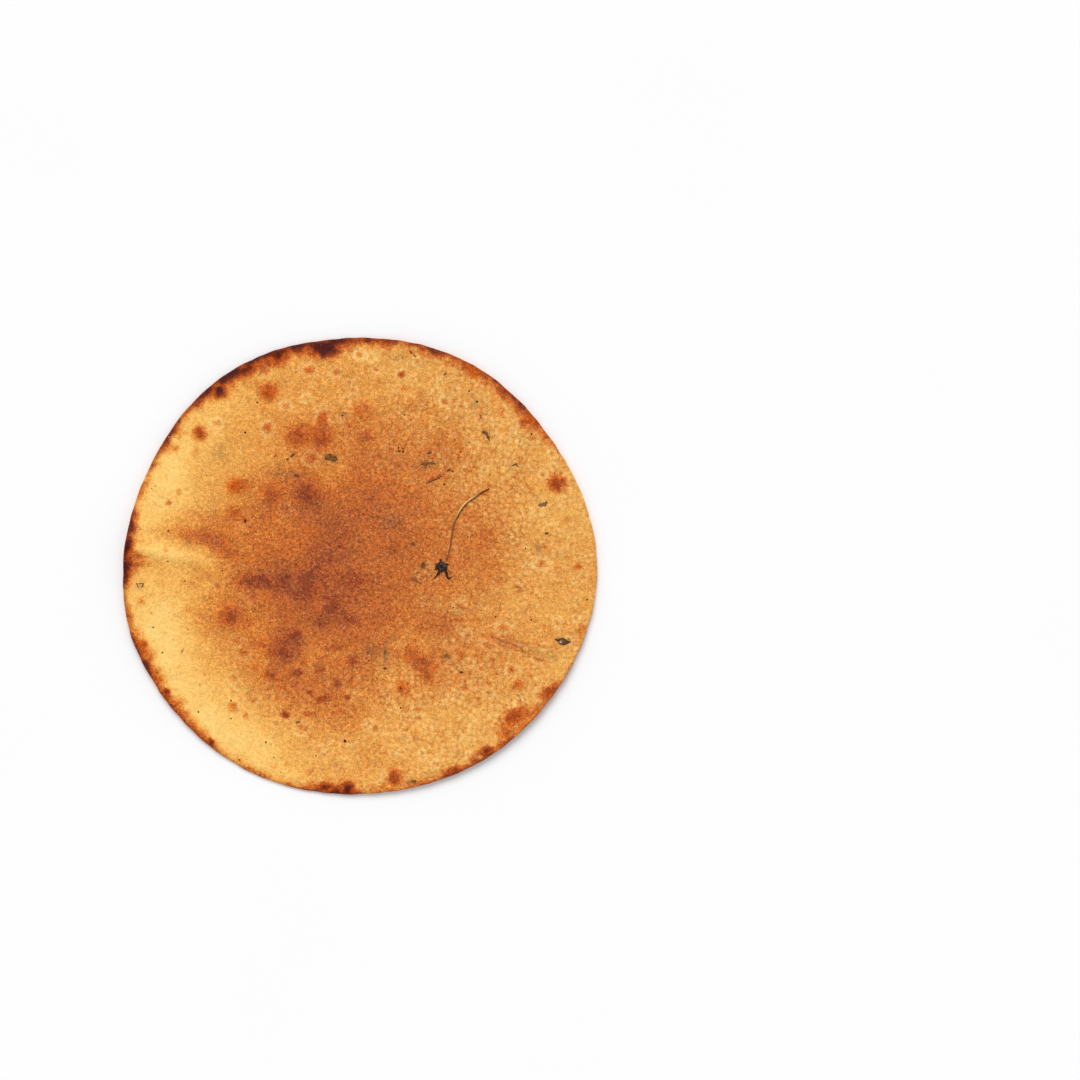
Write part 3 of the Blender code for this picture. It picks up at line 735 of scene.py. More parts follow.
@dataclass(frozen=True)
class Speckle:
    """A scatter of small round marks, thicker in some parts of the bread than in others."""

    seed: int
    count: int
    smallest: float
    largest: float
    strength: tuple[float, float]
    rough_share: float
    skew: float = 2.0

    def marks(self, mean_radius: float) -> Iterable[tuple[float, float, float, float]]:
        """Draw the marks.

        Args:
            mean_radius: Mean radius of the bread, in millimetres.

        Yields:
            Place across, place up, radius and strength of each.
        """
        draw = random.Random(self.seed)
        made = 0
        while made < self.count:
            reach = mean_radius * math.sqrt(draw.random())
            turn = draw.uniform(-math.pi, math.pi)
            x, y = reach * math.cos(turn), reach * math.sin(turn)
            if draw.random() < self.rough_share + (1.0 - self.rough_share) * roughness_share(x, y):
                radius = self.smallest + (self.largest - self.smallest) * draw.random() ** self.skew
                yield x, y, radius, draw.uniform(*self.strength)
                made += 1


def roughness_share(x: float, y: float) -> float:
    """How cobbled the crust is at a place in millimetres: most to the right, least to the left."""
    right = 1.0 / (1.0 + math.exp(-(x + 18.0) / 14.0))
    upper = math.exp(-(((x - 48.0) / 34.0) ** 2 + ((y - 42.0) / 34.0) ** 2))
    lower = math.exp(-(((x - 36.0) / 40.0) ** 2 + ((y + 58.0) / 26.0) ** 2))
    return min(1.0, 0.45 * right + 0.6 * upper + 0.6 * lower)


@dataclass
class Crust:
    """The bread's surface: fine relief and the masks that its colours are mixed by."""

    shape: BreadShape
    browning: Browning = field(default_factory=Browning)
    base_toast: float = 0.355
    beads: Speckle = Speckle(41, 3600, 0.50, 1.10, (0.5, 1.0), 0.14)
    bead_height: float = 0.085 * MM
    rings: Speckle = Speckle(42, 300, 1.0, 2.4, (0.4, 1.0), 0.03)
    ring_height: float = 0.10 * MM
    freckles: Speckle = Speckle(43, 330, 0.5, 1.7, (0.04, 0.20), 0.65, 2.6)
    cobble_width: float = 2.3 * MM
    cobble_height: float = 0.12 * MM
    ringed_below: float = 2.1
    ringed_within: float = 80.0
    clear_above: float = -32.0
    wrinkle_height: float = 0.20 * MM
    relief: Canvas = field(init=False)
    toast: Canvas = field(init=False)
    blush: Canvas = field(init=False)
    scorch: Canvas = field(init=False)
    stain: Canvas = field(init=False)
    # Pale marks of the crust, partly its own pale colour and partly painted glints.
    pale: Canvas = field(init=False)
    cobble: Canvas = field(init=False)

    def __post_init__(self) -> None:
        """Draw every mark on its canvas."""
        self.relief = Canvas(seed=3)
        self.toast = Canvas(seed=3)
        self.blush = Canvas(seed=3)
        self.scorch = Canvas(seed=3)
        self.stain = Canvas(seed=3)
        self.pale = Canvas(seed=3, unevenness=0.2 * MM)
        self.cobble = Canvas(seed=3)
        self.draw_toast()
        self.draw_spots()
        self.draw_rim()
        self.draw_stains()
        self.draw_cobbles()
        self.draw_fine_marks()

    def draw_toast(self) -> None:
        """Brown the bread broadly, most in its middle and least along its left side."""
        toast = self.toast
        x, y = toast.across / MM, toast.up / MM
        left = ease((-x * 0.86 - y * 0.32 + 8.0) / 60.0)
        toast.values += self.base_toast - 0.17 * left
        for zone in self.browning.zones:
            cos, sin = math.cos(math.radians(zone.turn)), math.sin(math.radians(zone.turn))
            across = ((x - zone.x) * cos + (y - zone.y) * sin) / zone.across
            up = ((y - zone.y) * cos - (x - zone.x) * sin) / zone.up
            toast.values += zone.strength * np.exp(-(np.hypot(across, up) ** 3))
        toast.values += 0.050 * toast.cloud(11, 11 * MM)
        inner = np.exp(-((np.hypot(x + 8.0, y) / 62.0) ** 4))
        toast.values += (0.026 + 0.014 * inner) * toast.cloud(12, 4.2 * MM)
        toast.values += (0.016 + 0.026 * inner) * toast.cloud(13, 1.9 * MM)
        toast.values += 0.040 * inner * toast.cloud(14, 7 * MM)
        self.blush.values += 0.12 * inner * np.clip(toast.cloud(15, 5 * MM) + 0.2, 0.0, 1.0)
        self.stain.values += 0.14 * inner * np.clip(toast.cloud(16, 6 * MM), 0.0, 1.0)

    def draw_spots(self) -> None:
        """Burn the browned spots, each with a grainy middle and an orange edge."""
        middles = Canvas(seed=8, unevenness=0.55 * MM, uneven_span=1.2 * MM)
        edges = Canvas(seed=8, unevenness=0.3 * MM)
        for spot in self.browning.spots:
            oval = (spot.x, spot.y, spot.across, spot.up, spot.turn)
            middles.dab(*oval, spot.strength, broad)
            wide = (spot.x, spot.y, spot.across * 1.3, spot.up * 1.3, spot.turn)
            edges.dab(*wide, min(0.9, spot.strength * 1.6), soft)
            if spot.across < self.ringed_below and math.hypot(spot.x, spot.y) < self.ringed_within:
                clear = 0.85 if 0.6 * spot.x + spot.y > self.clear_above else 0.40
                self.pale.dab(spot.x, spot.y, spot.across * 1.9, spot.up * 1.9, spot.turn, clear, ring)
        grain = 1.0 + 0.18 * middles.cloud(31, 1.7 * MM) + 0.14 * middles.cloud(32, 0.9 * MM)
        dark = middles.values * grain
        paleness = np.clip(2.0 - 2.4 * self.toast.values, 0.42, 1.0)
        self.toast.values += np.minimum(dark, 0.60) * (1.30 - 0.18 * paleness)
        self.scorch.values += np.clip(dark - 0.40, 0.0, 1.0)
        orange = 1.15 * paleness * (1.0 - 0.6 * np.clip(dark, 0.0, 1.0))
        self.blush.values += np.clip(edges.values * grain, 0.0, 1.0) * orange

    def draw_rim(self) -> None:
        """Scorch the rim to its uneven depth, with orange beside the scorch."""
        rows = sorted(self.browning.rim, key=lambda row: row.direction)
        directions = [row.direction for row in rows]
        x, y = self.toast.across, self.toast.up
        turn = np.arctan2(y, x)
        lookup = np.linspace(-math.pi, math.pi, 1441)
        radius = np.interp(turn, lookup, self.shape.outline(lookup))
        depth = np.maximum(0.0, (radius - np.hypot(x, y)) / MM)
        degrees = np.degrees(turn)
        scorch = np.interp(degrees, directions, [row.scorch for row in rows], period=360)
        halo = np.interp(degrees, directions, [row.halo for row in rows], period=360)
        patchy = 1.0 + 0.55 * self.toast.cloud(21, 3.4 * MM) + 0.35 * self.toast.cloud(22, 1.3 * MM)
        scorch = np.maximum(0.05, scorch * patchy)
        halo = np.maximum(0.05, halo * (1.12 + 0.35 * self.toast.cloud(23, 2.4 * MM)))
        share = np.clip((halo / 3.2) ** 2, 0.02, 1.0)
        fade = np.exp(-((depth / halo) ** 2.2))
        line = np.exp(-((np.maximum(0.0, depth - 0.6) / scorch) ** 2))
        self.scorch.values += np.clip(scorch / 2.2, 0.0, 1.0) * line
        self.blush.values += 0.50 * share * fade
        self.toast.values += 0.70 * share * fade * (1.0 + 0.25 * self.toast.cloud(24, 1.1 * MM))

    def draw_stains(self) -> None:
        """Tint the dough grey-green where a herb lies on it or under its skin, darken a band along the creases and
        draw the darker lines, then raise the wrinkles with a painted highlight on them and a painted shadow below and
        left of them.
        """
        for stain in self.browning.stains:
            self.stain.dab(stain.x, stain.y, stain.across, stain.up, stain.turn, stain.strength * 0.8, soft)
        x, y = self.stain.across / MM, self.stain.up / MM
        dull = ease((x + 10.0) / 50.0) * (0.75 + 0.5 * self.stain.cloud(51, 6 * MM))
        self.stain.values += 0.13 * dull * np.clip(1.3 - 1.6 * self.toast.values, 0.2, 1.0)
        self.stain.draw(self.browning.crease_band)
        for line in self.browning.lines:
            self.toast.draw(line)
        for line in self.browning.wrinkles:
            self.relief.draw(replace(line, strength=line.strength * self.wrinkle_height))
            # Painted highlight along each wrinkle, and a painted shadow just below and left of it.
            self.pale.draw(replace(line, strength=line.strength * 1.2))
            below = [(end[0] - 0.5, end[1] - 0.5) for end in (line.start, line.end)]
            self.toast.draw(Stroke(below[0], below[1], line.width, line.strength * 0.40))

    def draw_cobbles(self) -> None:
        """Crack the skin into low cobbles, clearest to the right and hardly seen in the middle."""
        canvas = self.cobble
        step = canvas.spacing
        places = np.arange(canvas.values.shape[0]) * step / self.cobble_width
        count = int(places[-1]) + 4
        draw = np.random.default_rng(61)
        jitter = draw.uniform(0.0, 1.0, (2, count, count))
        whole = places.astype(int)
        lightness = draw.uniform(0.0, 1.0, (count, count))
        nearest = np.full(canvas.values.shape, 9.0)
        second = np.full(canvas.values.shape, 9.0)
        light = np.zeros(canvas.values.shape)
        for down in (-1, 0, 1):
            for aside in (-1, 0, 1):
                row, column = np.clip(whole + down, 0, count - 1), np.clip(whole + aside, 0, count - 1)
                up = (row[:, None] + jitter[0][np.ix_(row, column)]) - places[:, None]
                across = (column[None, :] + jitter[1][np.ix_(row, column)]) - places[None, :]
                gap = np.hypot(up, across)
                second = np.minimum(second, np.maximum(nearest, gap))
                light = np.where(gap < nearest, lightness[np.ix_(row, column)], light)
                nearest = np.minimum(nearest, gap)
        seam = np.exp(-(((second - nearest) / 0.16) ** 2))
        spread = np.vectorize(roughness_share)(canvas.across[::8, ::8] / MM, canvas.up[::8, ::8] / MM)
        spread = np.repeat(np.repeat(spread, 8, axis=0), 8, axis=1)[:seam.shape[0], :seam.shape[1]]
        spread = np.clip(spread * (0.8 + 0.5 * canvas.cloud(62, 7 * MM)), 0.0, 1.0)
        canvas.values = spread
        self.relief.values += self.cobble_height * spread * (1.0 - nearest - 0.9 * seam)
        tops = np.clip(1.0 - 1.7 * nearest, 0.0, 1.0) * light
        self.toast.values += spread * (0.20 * seam - 0.06 * (1.0 - nearest))
        # Paler cobble tops, which the dough's shader also lifts towards its painted glint colour.
        self.pale.values += spread * 0.85 * tops

    def draw_fine_marks(self) -> None:
        """Cover the crust with beads, small ring blisters and freckles."""
        mean_radius = self.shape.mean_radius / MM
        for x, y, radius, strength in self.beads.marks(mean_radius):
            self.relief.dab(x, y, radius, radius, 0, strength * self.bead_height, bead)
            # Pale bead tops, which the dough's shader lifts into painted glints.
            self.pale.dab(x, y, radius * 0.8, radius * 0.8, 0, strength * 0.8, bead)
        for x, y, radius, strength in self.rings.marks(mean_radius):
            self.relief.dab(x, y, radius, radius, 0, strength * self.ring_height, ring)
            self.pale.dab(x, y, radius, radius, 0, strength * 0.8, ring)
            self.blush.dab(x, y, radius * 0.5, radius * 0.5, 0, strength * 0.42, soft)
            self.toast.dab(x, y, radius * 0.5, radius * 0.5, 0, strength * 0.12, soft)
        for x, y, radius, strength in self.freckles.marks(mean_radius):
            self.toast.dab(x, y, radius, radius * 0.8, 50.0 * radius, strength, soft)
            self.blush.dab(x, y, radius, radius * 0.8, 50.0 * radius, strength * 2.2, soft)
        self.pale.values *= np.clip(1.7 - 2.2 * self.toast.values, 0.12, 1.0)


class Net:
    """A node tree that is being wired."""

    def __init__(self, tree: bpy.types.NodeTree) -> None:
        """Start on a tree.

        Args:
            tree: The node tree to add to.
        """
        self.tree = tree

    def add(self, kind: str, label: str = "", **settings: object) -> bpy.types.Node:
        """Add a node.

        Args:
            kind: Its type in Blender.
            label: Its name.
            settings: Its properties.

        Returns:
            The node.
        """
        node = self.tree.nodes.new(kind)
        if label:
            node.name = node.label = label
        for name, value in settings.items():
            setattr(node, name, value)
        return node

    def join(self, output: bpy.types.NodeSocket, target: bpy.types.NodeSocket) -> None:
        """Link an output to an input."""
        self.tree.links.new(output, target)

    def feed(self, socket: bpy.types.NodeSocket, value: object) -> None:
        """Link an input to an output, or set it where the value is plain."""
        if isinstance(value, bpy.types.NodeSocket):
            self.join(value, socket)
        else:
            socket.default_value = value

    def math(self, operation: str, first: object, second: object = 0.0, clamp: bool = False) -> bpy.types.NodeSocket:
        """Combine two values.

        Args:
            operation: The kind of sum.
            first: A socket or a number.
            second: A socket or a number.
            clamp: Whether the result stays from 0 to 1.

        Returns:
            The result's socket.
        """
        node = self.add("ShaderNodeMath", operation=operation, use_clamp=clamp)
        self.feed(node.inputs[0], first)
        self.feed(node.inputs[1], second)
        return node.outputs[0]

    def mix(self, share: object, first: object, second: object, blend: str = "MIX") -> bpy.types.NodeSocket:
        """Mix two colours.

        Args:
            share: How much of the second, as a socket or a number.
            first: A socket or a colour.
            second: A socket or a colour.
            blend: How they mix.

        Returns:
            The mixed colour's socket.
        """
        node = self.add("ShaderNodeMix", data_type="RGBA", blend_type=blend, clamp_factor=True)
        self.feed(node.inputs["Factor"], share)
        self.feed(node.inputs[6], first)
        self.feed(node.inputs[7], second)
        return node.outputs[2]

    def mask(self, name: str) -> bpy.types.NodeSocket:
        """Read a value that the mesh carries."""
        return self.add("ShaderNodeAttribute", name, attribute_name=name).outputs["Fac"]


def grain_group() -> bpy.types.NodeTree:
    """Build the fine meal grain that the bread and its herbs share.

    Returns:
        A node group that takes a grain size and a contrast, and puts out a shade round 1 and a height.
    """
    name = "Meal grain"
    if name in bpy.data.node_groups:
        return bpy.data.node_groups[name]
    group = bpy.data.node_groups.new(name, "ShaderNodeTree")
    group.interface.new_socket("Grains per metre", in_out="INPUT", socket_type="NodeSocketFloat")
    group.interface.new_socket("Contrast", in_out="INPUT", socket_type="NodeSocketFloat")
    group.interface.new_socket("Shade", in_out="OUTPUT", socket_type="NodeSocketFloat")
    group.interface.new_socket("Height", in_out="OUTPUT", socket_type="NodeSocketFloat")
    net = Net(group)
    inputs = net.add("NodeGroupInput")
    outputs = net.add("NodeGroupOutput")
    place = net.add("ShaderNodeTexCoord").outputs["Object"]
    fine = net.add("ShaderNodeTexNoise", "Fine meal")
    fine.inputs["Detail"].default_value = 3.0
    fine.inputs["Roughness"].default_value = 0.62
    coarse = net.add("ShaderNodeTexNoise", "Coarse meal")
    coarse.inputs["Detail"].default_value = 1.0
    net.join(place, fine.inputs["Vector"])
    net.join(place, coarse.inputs["Vector"])
    net.join(inputs.outputs["Grains per metre"], fine.inputs["Scale"])
    net.join(net.math("MULTIPLY", inputs.outputs["Grains per metre"], 0.42), coarse.inputs["Scale"])
    both = net.math("ADD", net.math("MULTIPLY", fine.outputs["Fac"], 0.72),
                    net.math("MULTIPLY", coarse.outputs["Fac"], 0.28))
    centred = net.math("SUBTRACT", both, 0.5)
    shade = net.math("ADD", net.math("MULTIPLY", centred, inputs.outputs["Contrast"]), 1.0)
    net.join(net.math("MAXIMUM", shade, 0.15), outputs.inputs["Shade"])
    net.join(both, outputs.inputs["Height"])
    return group


@dataclass(frozen=True)
class DoughFinish:
    """Toasted wheat dough: its colours from palest to darkest, the painted glints on its pale marks, and how its
    surface shines.
    """

    name: str = "toasted_dough"
    ramp: tuple[tuple[float, Colour], ...] = (
        (0.00, srgb(255, 214, 126)),
        (0.10, srgb(254, 201, 110)),
        (0.22, srgb(247, 183, 91)),
        (0.34, srgb(236, 166, 77)),
        (0.46, srgb(225, 145, 62)),
        (0.58, srgb(210, 122, 47)),
        (0.70, srgb(198, 104, 39)),
        (0.82, srgb(180, 91, 38)),
        (0.92, srgb(160, 74, 34)),
        (1.00, srgb(134, 56, 28)),
    )
    blush: Colour = srgb(222, 104, 12)
    ember: Colour = srgb(142, 54, 16)
    scorch: Colour = srgb(80, 28, 22)
    stain: Colour = srgb(112, 86, 58)
    # Colour of the painted highlights that the pale marks are lifted towards.
    glint: Colour = srgb(255, 220, 140)
    # Colour of the pale dots, partly crumbs and partly painted glints.
    crumb_glint_colour: Colour = srgb(255, 212, 126)
    roughness: tuple[float, float] = (0.60, 0.42)
    specular: float = 0.20
    grains_per_metre: float = 1900.0
    contrast: float = 4.6
    speckling: float = 0.42
    dots_per_metre: float = 1100.0
    bump_distance: float = 0.22 * MM
    bump_strength: float = 1.0

    def material(self) -> bpy.types.Material:
        """Build the dough's material.

        Returns:
            The material, which reads the masks that the bread's mesh carries.
        """
        material = bpy.data.materials.new(self.name)
        material.use_nodes = True
        net = Net(material.node_tree)
        shader = material.node_tree.nodes["Principled BSDF"]
        grain = net.add("ShaderNodeGroup", "Meal grain", node_tree=grain_group())
        grain.inputs["Grains per metre"].default_value = self.grains_per_metre
        grain.inputs["Contrast"].default_value = self.contrast
        ramp = net.add("ShaderNodeValToRGB", "Toasting")
        stops = ramp.color_ramp.elements
        while len(stops) < len(self.ramp):
            stops.new(1.0)
        for stop, (place, colour) in zip(stops, self.ramp):
            stop.position, stop.color = place, colour
        speck = net.math("MULTIPLY", net.math("SUBTRACT", 0.5, grain.outputs["Height"]), self.speckling)
        net.join(net.math("ADD", net.mask("toast"), speck), ramp.inputs["Fac"])
        colour = net.mix(net.math("MULTIPLY", net.mask("blush"), 0.80, clamp=True), ramp.outputs["Color"], self.blush)
        stain = net.math("MULTIPLY", net.mask("stain"), 0.80, clamp=True)
        colour = net.mix(stain, colour, self.stain)
        scorch = net.mask("scorch")
        colour = net.mix(net.math("MULTIPLY", scorch, 1.7, clamp=True), colour, self.ember)
        deep = net.math("MULTIPLY", net.math("SUBTRACT", scorch, 0.38), 1.75, clamp=True)
        colour = net.mix(deep, colour, self.scorch)
        # Painted highlights: the pale marks are lifted towards the glint colour, less on scorched and orange crust.
        pale = net.mask("pale")
        dull = net.math("ADD", net.math("MULTIPLY", scorch, 0.4), net.math("MULTIPLY", net.mask("blush"), 0.3))
        lit = net.math("MULTIPLY", pale, net.math("SUBTRACT", 0.50, dull, clamp=True), clamp=True)
        colour = net.mix(lit, colour, self.glint)
        shaded = net.add("ShaderNodeCombineColor", "Grain shade")
        for channel in shaded.inputs[:3]:
            net.join(grain.outputs["Shade"], channel)
        grainy = net.math("ADD", 0.10, net.math("MULTIPLY", net.mask("toast"), 1.04))
        grainy = net.math("SUBTRACT", grainy, net.math("MULTIPLY", net.mask("cobble"), 0.14))
        grainy = net.math("MINIMUM", grainy, 0.76)
        colour = net.mix(grainy, colour, shaded.outputs["Color"], blend="MULTIPLY")
        # Painted glints: tiny pale dots, fewer on the orange spots and on well-browned crust.
        dots = self.crumb_glints(net)
        fewer = net.math("SUBTRACT", 0.90, net.math("MULTIPLY", net.mask("blush"), 0.70), clamp=True)
        colour = net.mix(net.math("MULTIPLY", dots, fewer), colour, self.crumb_glint_colour)
        net.join(colour, shader.inputs["Base Color"])
        rough = net.add("ShaderNodeMapRange", "Dry to oily")
        rough.inputs["To Min"].default_value, rough.inputs["To Max"].default_value = self.roughness
        net.join(pale, rough.inputs["Value"])
        net.join(rough.outputs["Result"], shader.inputs["Roughness"])
        matt = net.math("MULTIPLY", net.mask("blush"), self.specular * 0.8, clamp=True)
        net.join(net.math("SUBTRACT", self.specular, matt, clamp=True), shader.inputs["Specular IOR Level"])
        bump = net.add("ShaderNodeBump", "Meal relief")
        bump.inputs["Strength"].default_value = self.bump_strength
        bump.inputs["Distance"].default_value = self.bump_distance
        height = net.math("ADD", grain.outputs["Height"], net.math("MULTIPLY", dots, 0.12))
        net.join(height, bump.inputs["Height"])
        net.join(bump.outputs["Normal"], shader.inputs["Normal"])
        return material

    def crumb_glints(self, net: Net) -> bpy.types.NodeSocket:
        """Scatter tiny pale dots, partly crumbs of crust and partly painted glints, more where the skin is cobbled.

        Args:
            net: The dough's node tree.

        Returns:
            The mask of the dots.
        """
        cells = net.add("ShaderNodeTexVoronoi", "Crumbs")
        cells.inputs["Scale"].default_value = self.dots_per_metre
        net.join(net.add("ShaderNodeTexCoord").outputs["Object"], cells.inputs["Vector"])
        round_dot = net.math("MULTIPLY", net.math("SUBTRACT", 0.32, cells.outputs["Distance"]), 7.0, clamp=True)
        chance = net.add("ShaderNodeSeparateColor")
        net.join(cells.outputs["Color"], chance.inputs["Color"])
        wanted = net.math("ADD", net.math("MULTIPLY", net.mask("cobble"), 0.20), 0.15)
        kept = net.math("LESS_THAN", chance.outputs[0], wanted)
        shown = net.math("SUBTRACT", 1.15, net.math("MULTIPLY", net.mask("toast"), 0.85), clamp=True)
        return net.math("MULTIPLY", net.math("MULTIPLY", round_dot, kept), shown)


@dataclass(frozen=True)
class HerbFinish:
    """Dried leaf, seed or stem: two colours with a fine grain between them."""

    name: str
    dark: Colour
    light: Colour
    roughness: float = 0.6
    specular: float = 0.12
    grains_per_metre: float = 1500.0
    contrast: float = 0.9
    mottle: float = 1.6
    bump_distance: float = 0.15 * MM

    def material(self) -> bpy.types.Material:
        """Build the herb's material.

        Returns:
            The material, which reads how light each corner of the mesh is.
        """
        material = bpy.data.materials.new(self.name)
        material.use_nodes = True
        net = Net(material.node_tree)
        shader = material.node_tree.nodes["Principled BSDF"]
        grain = net.add("ShaderNodeGroup", "Meal grain", node_tree=grain_group())
        grain.inputs["Grains per metre"].default_value = self.grains_per_metre
        grain.inputs["Contrast"].default_value = self.contrast
        uneven = net.math("SUBTRACT", grain.outputs["Height"], 0.5)
        share = net.math("ADD", net.mask("tone"), net.math("MULTIPLY", uneven, self.mottle), clamp=True)
        net.join(net.mix(share, self.dark, self.light), shader.inputs["Base Color"])
        rough = net.math("ADD", self.roughness - 0.15, net.math("MULTIPLY", grain.outputs["Height"], 0.3))
        net.join(rough, shader.inputs["Roughness"])
        shader.inputs["Specular IOR Level"].default_value = self.specular
        bump = net.add("ShaderNodeBump", "Dry wrinkles")
        bump.inputs["Strength"].default_value = 0.7
        bump.inputs["Distance"].default_value = self.bump_distance
        net.join(grain.outputs["Height"], bump.inputs["Height"])
        net.join(bump.outputs["Normal"], shader.inputs["Normal"])
        return material


@dataclass(frozen=True)
class FloorFinish:
    """Plain pale floor with the faintest unevenness."""

    name: str = "pale_floor"
    light: Colour = srgb(254, 254, 255)
    dark: Colour = srgb(252, 252, 253)
    clouds_per_metre: float = 9.0
    roughness: float = 0.85

    def material(self) -> bpy.types.Material:
        """Build the floor's material."""
        material = bpy.data.materials.new(self.name)
        material.use_nodes = True
        net = Net(material.node_tree)
        shader = material.node_tree.nodes["Principled BSDF"]
        cloud = net.add("ShaderNodeTexNoise", "Faint clouds")
        cloud.inputs["Scale"].default_value = self.clouds_per_metre
        net.join(net.add("ShaderNodeTexCoord").outputs["Object"], cloud.inputs["Vector"])
        net.join(net.mix(cloud.outputs["Fac"], self.dark, self.light), shader.inputs["Base Color"])
        shader.inputs["Roughness"].default_value = self.roughness
        shader.inputs["Specular IOR Level"].default_value = 0.1
        return material


def new_object(name: str, mesh: bpy.types.Mesh, material: bpy.types.Material) -> bpy.types.Object:
    """Put a mesh in the scene.

    Args:
        name: The piece's name.
        mesh: Its mesh.
        material: Its finish.

    Returns:
        The new object.
    """
    mesh.name = name
    mesh.materials.append(material)
    piece = bpy.data.objects.new(name, mesh)
    bpy.context.scene.collection.objects.link(piece)
    return piece


def report(piece: bpy.types.Object) -> None:
    """Log a piece's name and its number of faces."""
    LOG.info("%s: %d faces", piece.name, len(piece.data.polygons))


@dataclass
class Bread:
    """The bread itself: one closed mesh with its relief, its masks and its map."""

    shape: BreadShape = field(default_factory=BreadShape)
    finish: DoughFinish = field(default_factory=DoughFinish)
    top_rings: int = 158
    under_rings: int = 62
    rim_levels: tuple[Side, ...] = (Side.UPPER_RIM, Side.RIM, Side.LOWER_RIM)
    browned: tuple[tuple[float, float, float, float], ...] = (
        (-35.2, 65.5, 4.2, 0.50),
        (-61.0, 50.0, 3.4, 0.50),
        (-53.5, 65.8, 3.2, 0.45),
        (-13.5, 81.0, 5.0, 0.50),
        (-19.8, 74.0, 2.8, 0.40),
        (15.3, 72.0, 2.8, 0.40),
        (1.0, 59.0, 4.4, 0.40),
        (2.5, 48.5, 4.0, 0.40),
        (-15.0, 50.5, 5.8, 0.55),
        (-24.5, 48.5, 5.0, 0.55),
        (-47.5, 30.0, 5.0, 0.50),
        (-34.0, 28.0, 5.0, 0.45),
        (-21.0, 27.0, 6.4, 0.55),
        (74.2, 31.2, 4.6, 0.60),
        (-50.0, -20.0, 6.0, 0.60),
        (59.5, -45.5, 3.4, 0.45),
        (71.0, -47.0, 3.8, 0.45),
        (57.5, -58.5, 8.0, 0.60),
        (47.8, -70.0, 3.6, 0.45),
        (12.7, -80.0, 4.2, 0.50),
        (21.5, -34.0, 5.6, 0.45),
        (24.5, -40.0, 4.6, 0.40),
        (16.0, -46.5, 4.4, 0.45),
        (-15.0, -50.5, 4.4, 0.45),
        (-24.0, -40.5, 3.4, 0.40),
        (-34.5, -41.5, 3.4, 0.40),
        (-48.5, -53.5, 3.4, 0.40),
    )
    browned_dip: float = 1.5
    top_spread: BlisterSpread = BlisterSpread(17, 190, 1.9 * MM, 5.6 * MM, 0.10, 6.0)
    under_spread: BlisterSpread = BlisterSpread(5, 70, 2.6 * MM, 6.0 * MM, 0.06, 3.0, keep_clear=16 * MM)
    under_turn: float = 2.4
    map_top_share: float = 0.40
    map_under_share: float = 0.18
    map_margin: float = 0.01
    crust: Crust = field(init=False)
    blisters: list[Blister] = field(init=False)
    hollows: list[Blister] = field(init=False)

    def __post_init__(self) -> None:
        """Work out the blisters and draw the crust."""
        made = [Blister(x * MM, y * MM, radius * MM, height * MM, self.browned_dip)
                for x, y, radius, height in self.browned]
        self.blisters = made + self.top_spread.blisters(self.shape.mean_radius, made)
        self.hollows = self.under_spread.blisters(self.shape.mean_radius, [])
        self.crust = Crust(self.shape)

    @staticmethod
    def sheet(rings: int, side: Side) -> bpy.types.Mesh:
        """Make a flat six-sided sheet of even triangles.

        Args:
            rings: Triangles from its middle to its edge.
            side: The level that it lies on.

        Returns:
            The sheet's mesh.
        """
        work = bmesh.new()
        bmesh.ops.create_circle(work, cap_ends=True, cap_tris=True, segments=6, radius=1.0)
        bmesh.ops.subdivide_edges(work, edges=work.edges[:], cuts=rings - 1, use_grid_fill=True)
        bmesh.ops.translate(work, verts=work.verts, vec=(0.0, 0.0, side.value))
        mesh = bpy.data.meshes.new("sheet")
        work.to_mesh(mesh)
        work.free()
        return mesh

    def pattern(self) -> bpy.types.Mesh:
        """Join the two sheets round their edges into one closed flat pattern.

        Returns:
            The pattern, with each corner's side as its height.
        """
        work = bmesh.new()
        sheets = (self.sheet(self.top_rings, Side.TOP), self.sheet(self.under_rings, Side.UNDERSIDE))
        for sheet in sheets:
            work.from_mesh(sheet)
            bpy.data.meshes.remove(sheet)
        edge = [one for one in work.edges if one.is_boundary and one.verts[0].co.z > 0]
        for side in self.rim_levels:
            grown = bmesh.ops.extrude_edge_only(work, edges=edge)["geom"]
            edge = [one for one in grown if isinstance(one, bmesh.types.BMEdge) and one.is_boundary]
            for corner in {corner for one in edge for corner in one.verts}:
                corner.co.z = side.value
        lower = [one for one in work.edges if one.is_boundary and one.verts[0].co.z == Side.UNDERSIDE.value]
        bmesh.ops.bridge_loops(work, edges=edge + lower)
        bmesh.ops.triangulate(work, faces=work.faces)
        bmesh.ops.recalc_face_normals(work, faces=work.faces)
        mesh = bpy.data.meshes.new("pattern")
        work.to_mesh(mesh)
        work.free()
        return mesh

    @staticmethod
    def polar(flat: np.ndarray) -> tuple[np.ndarray, np.ndarray]:
        """Find where the points of the six-sided pattern go on the round bread.

        Args:
            flat: Corners of the pattern.

        Returns:
            Their reach from 0 to 1, and their direction.
        """
        turn = np.arctan2(flat[:, 1], flat[:, 0])
        middle = np.round(turn / SIXTH_TURN) * SIXTH_TURN
        length = np.hypot(flat[:, 0], flat[:, 1])
        reach = length * np.cos(turn - middle) / math.cos(SIXTH_TURN / 2)
        along = np.tan(turn - middle) / math.tan(SIXTH_TURN / 2)
        return reach, middle + along * SIXTH_TURN / 2

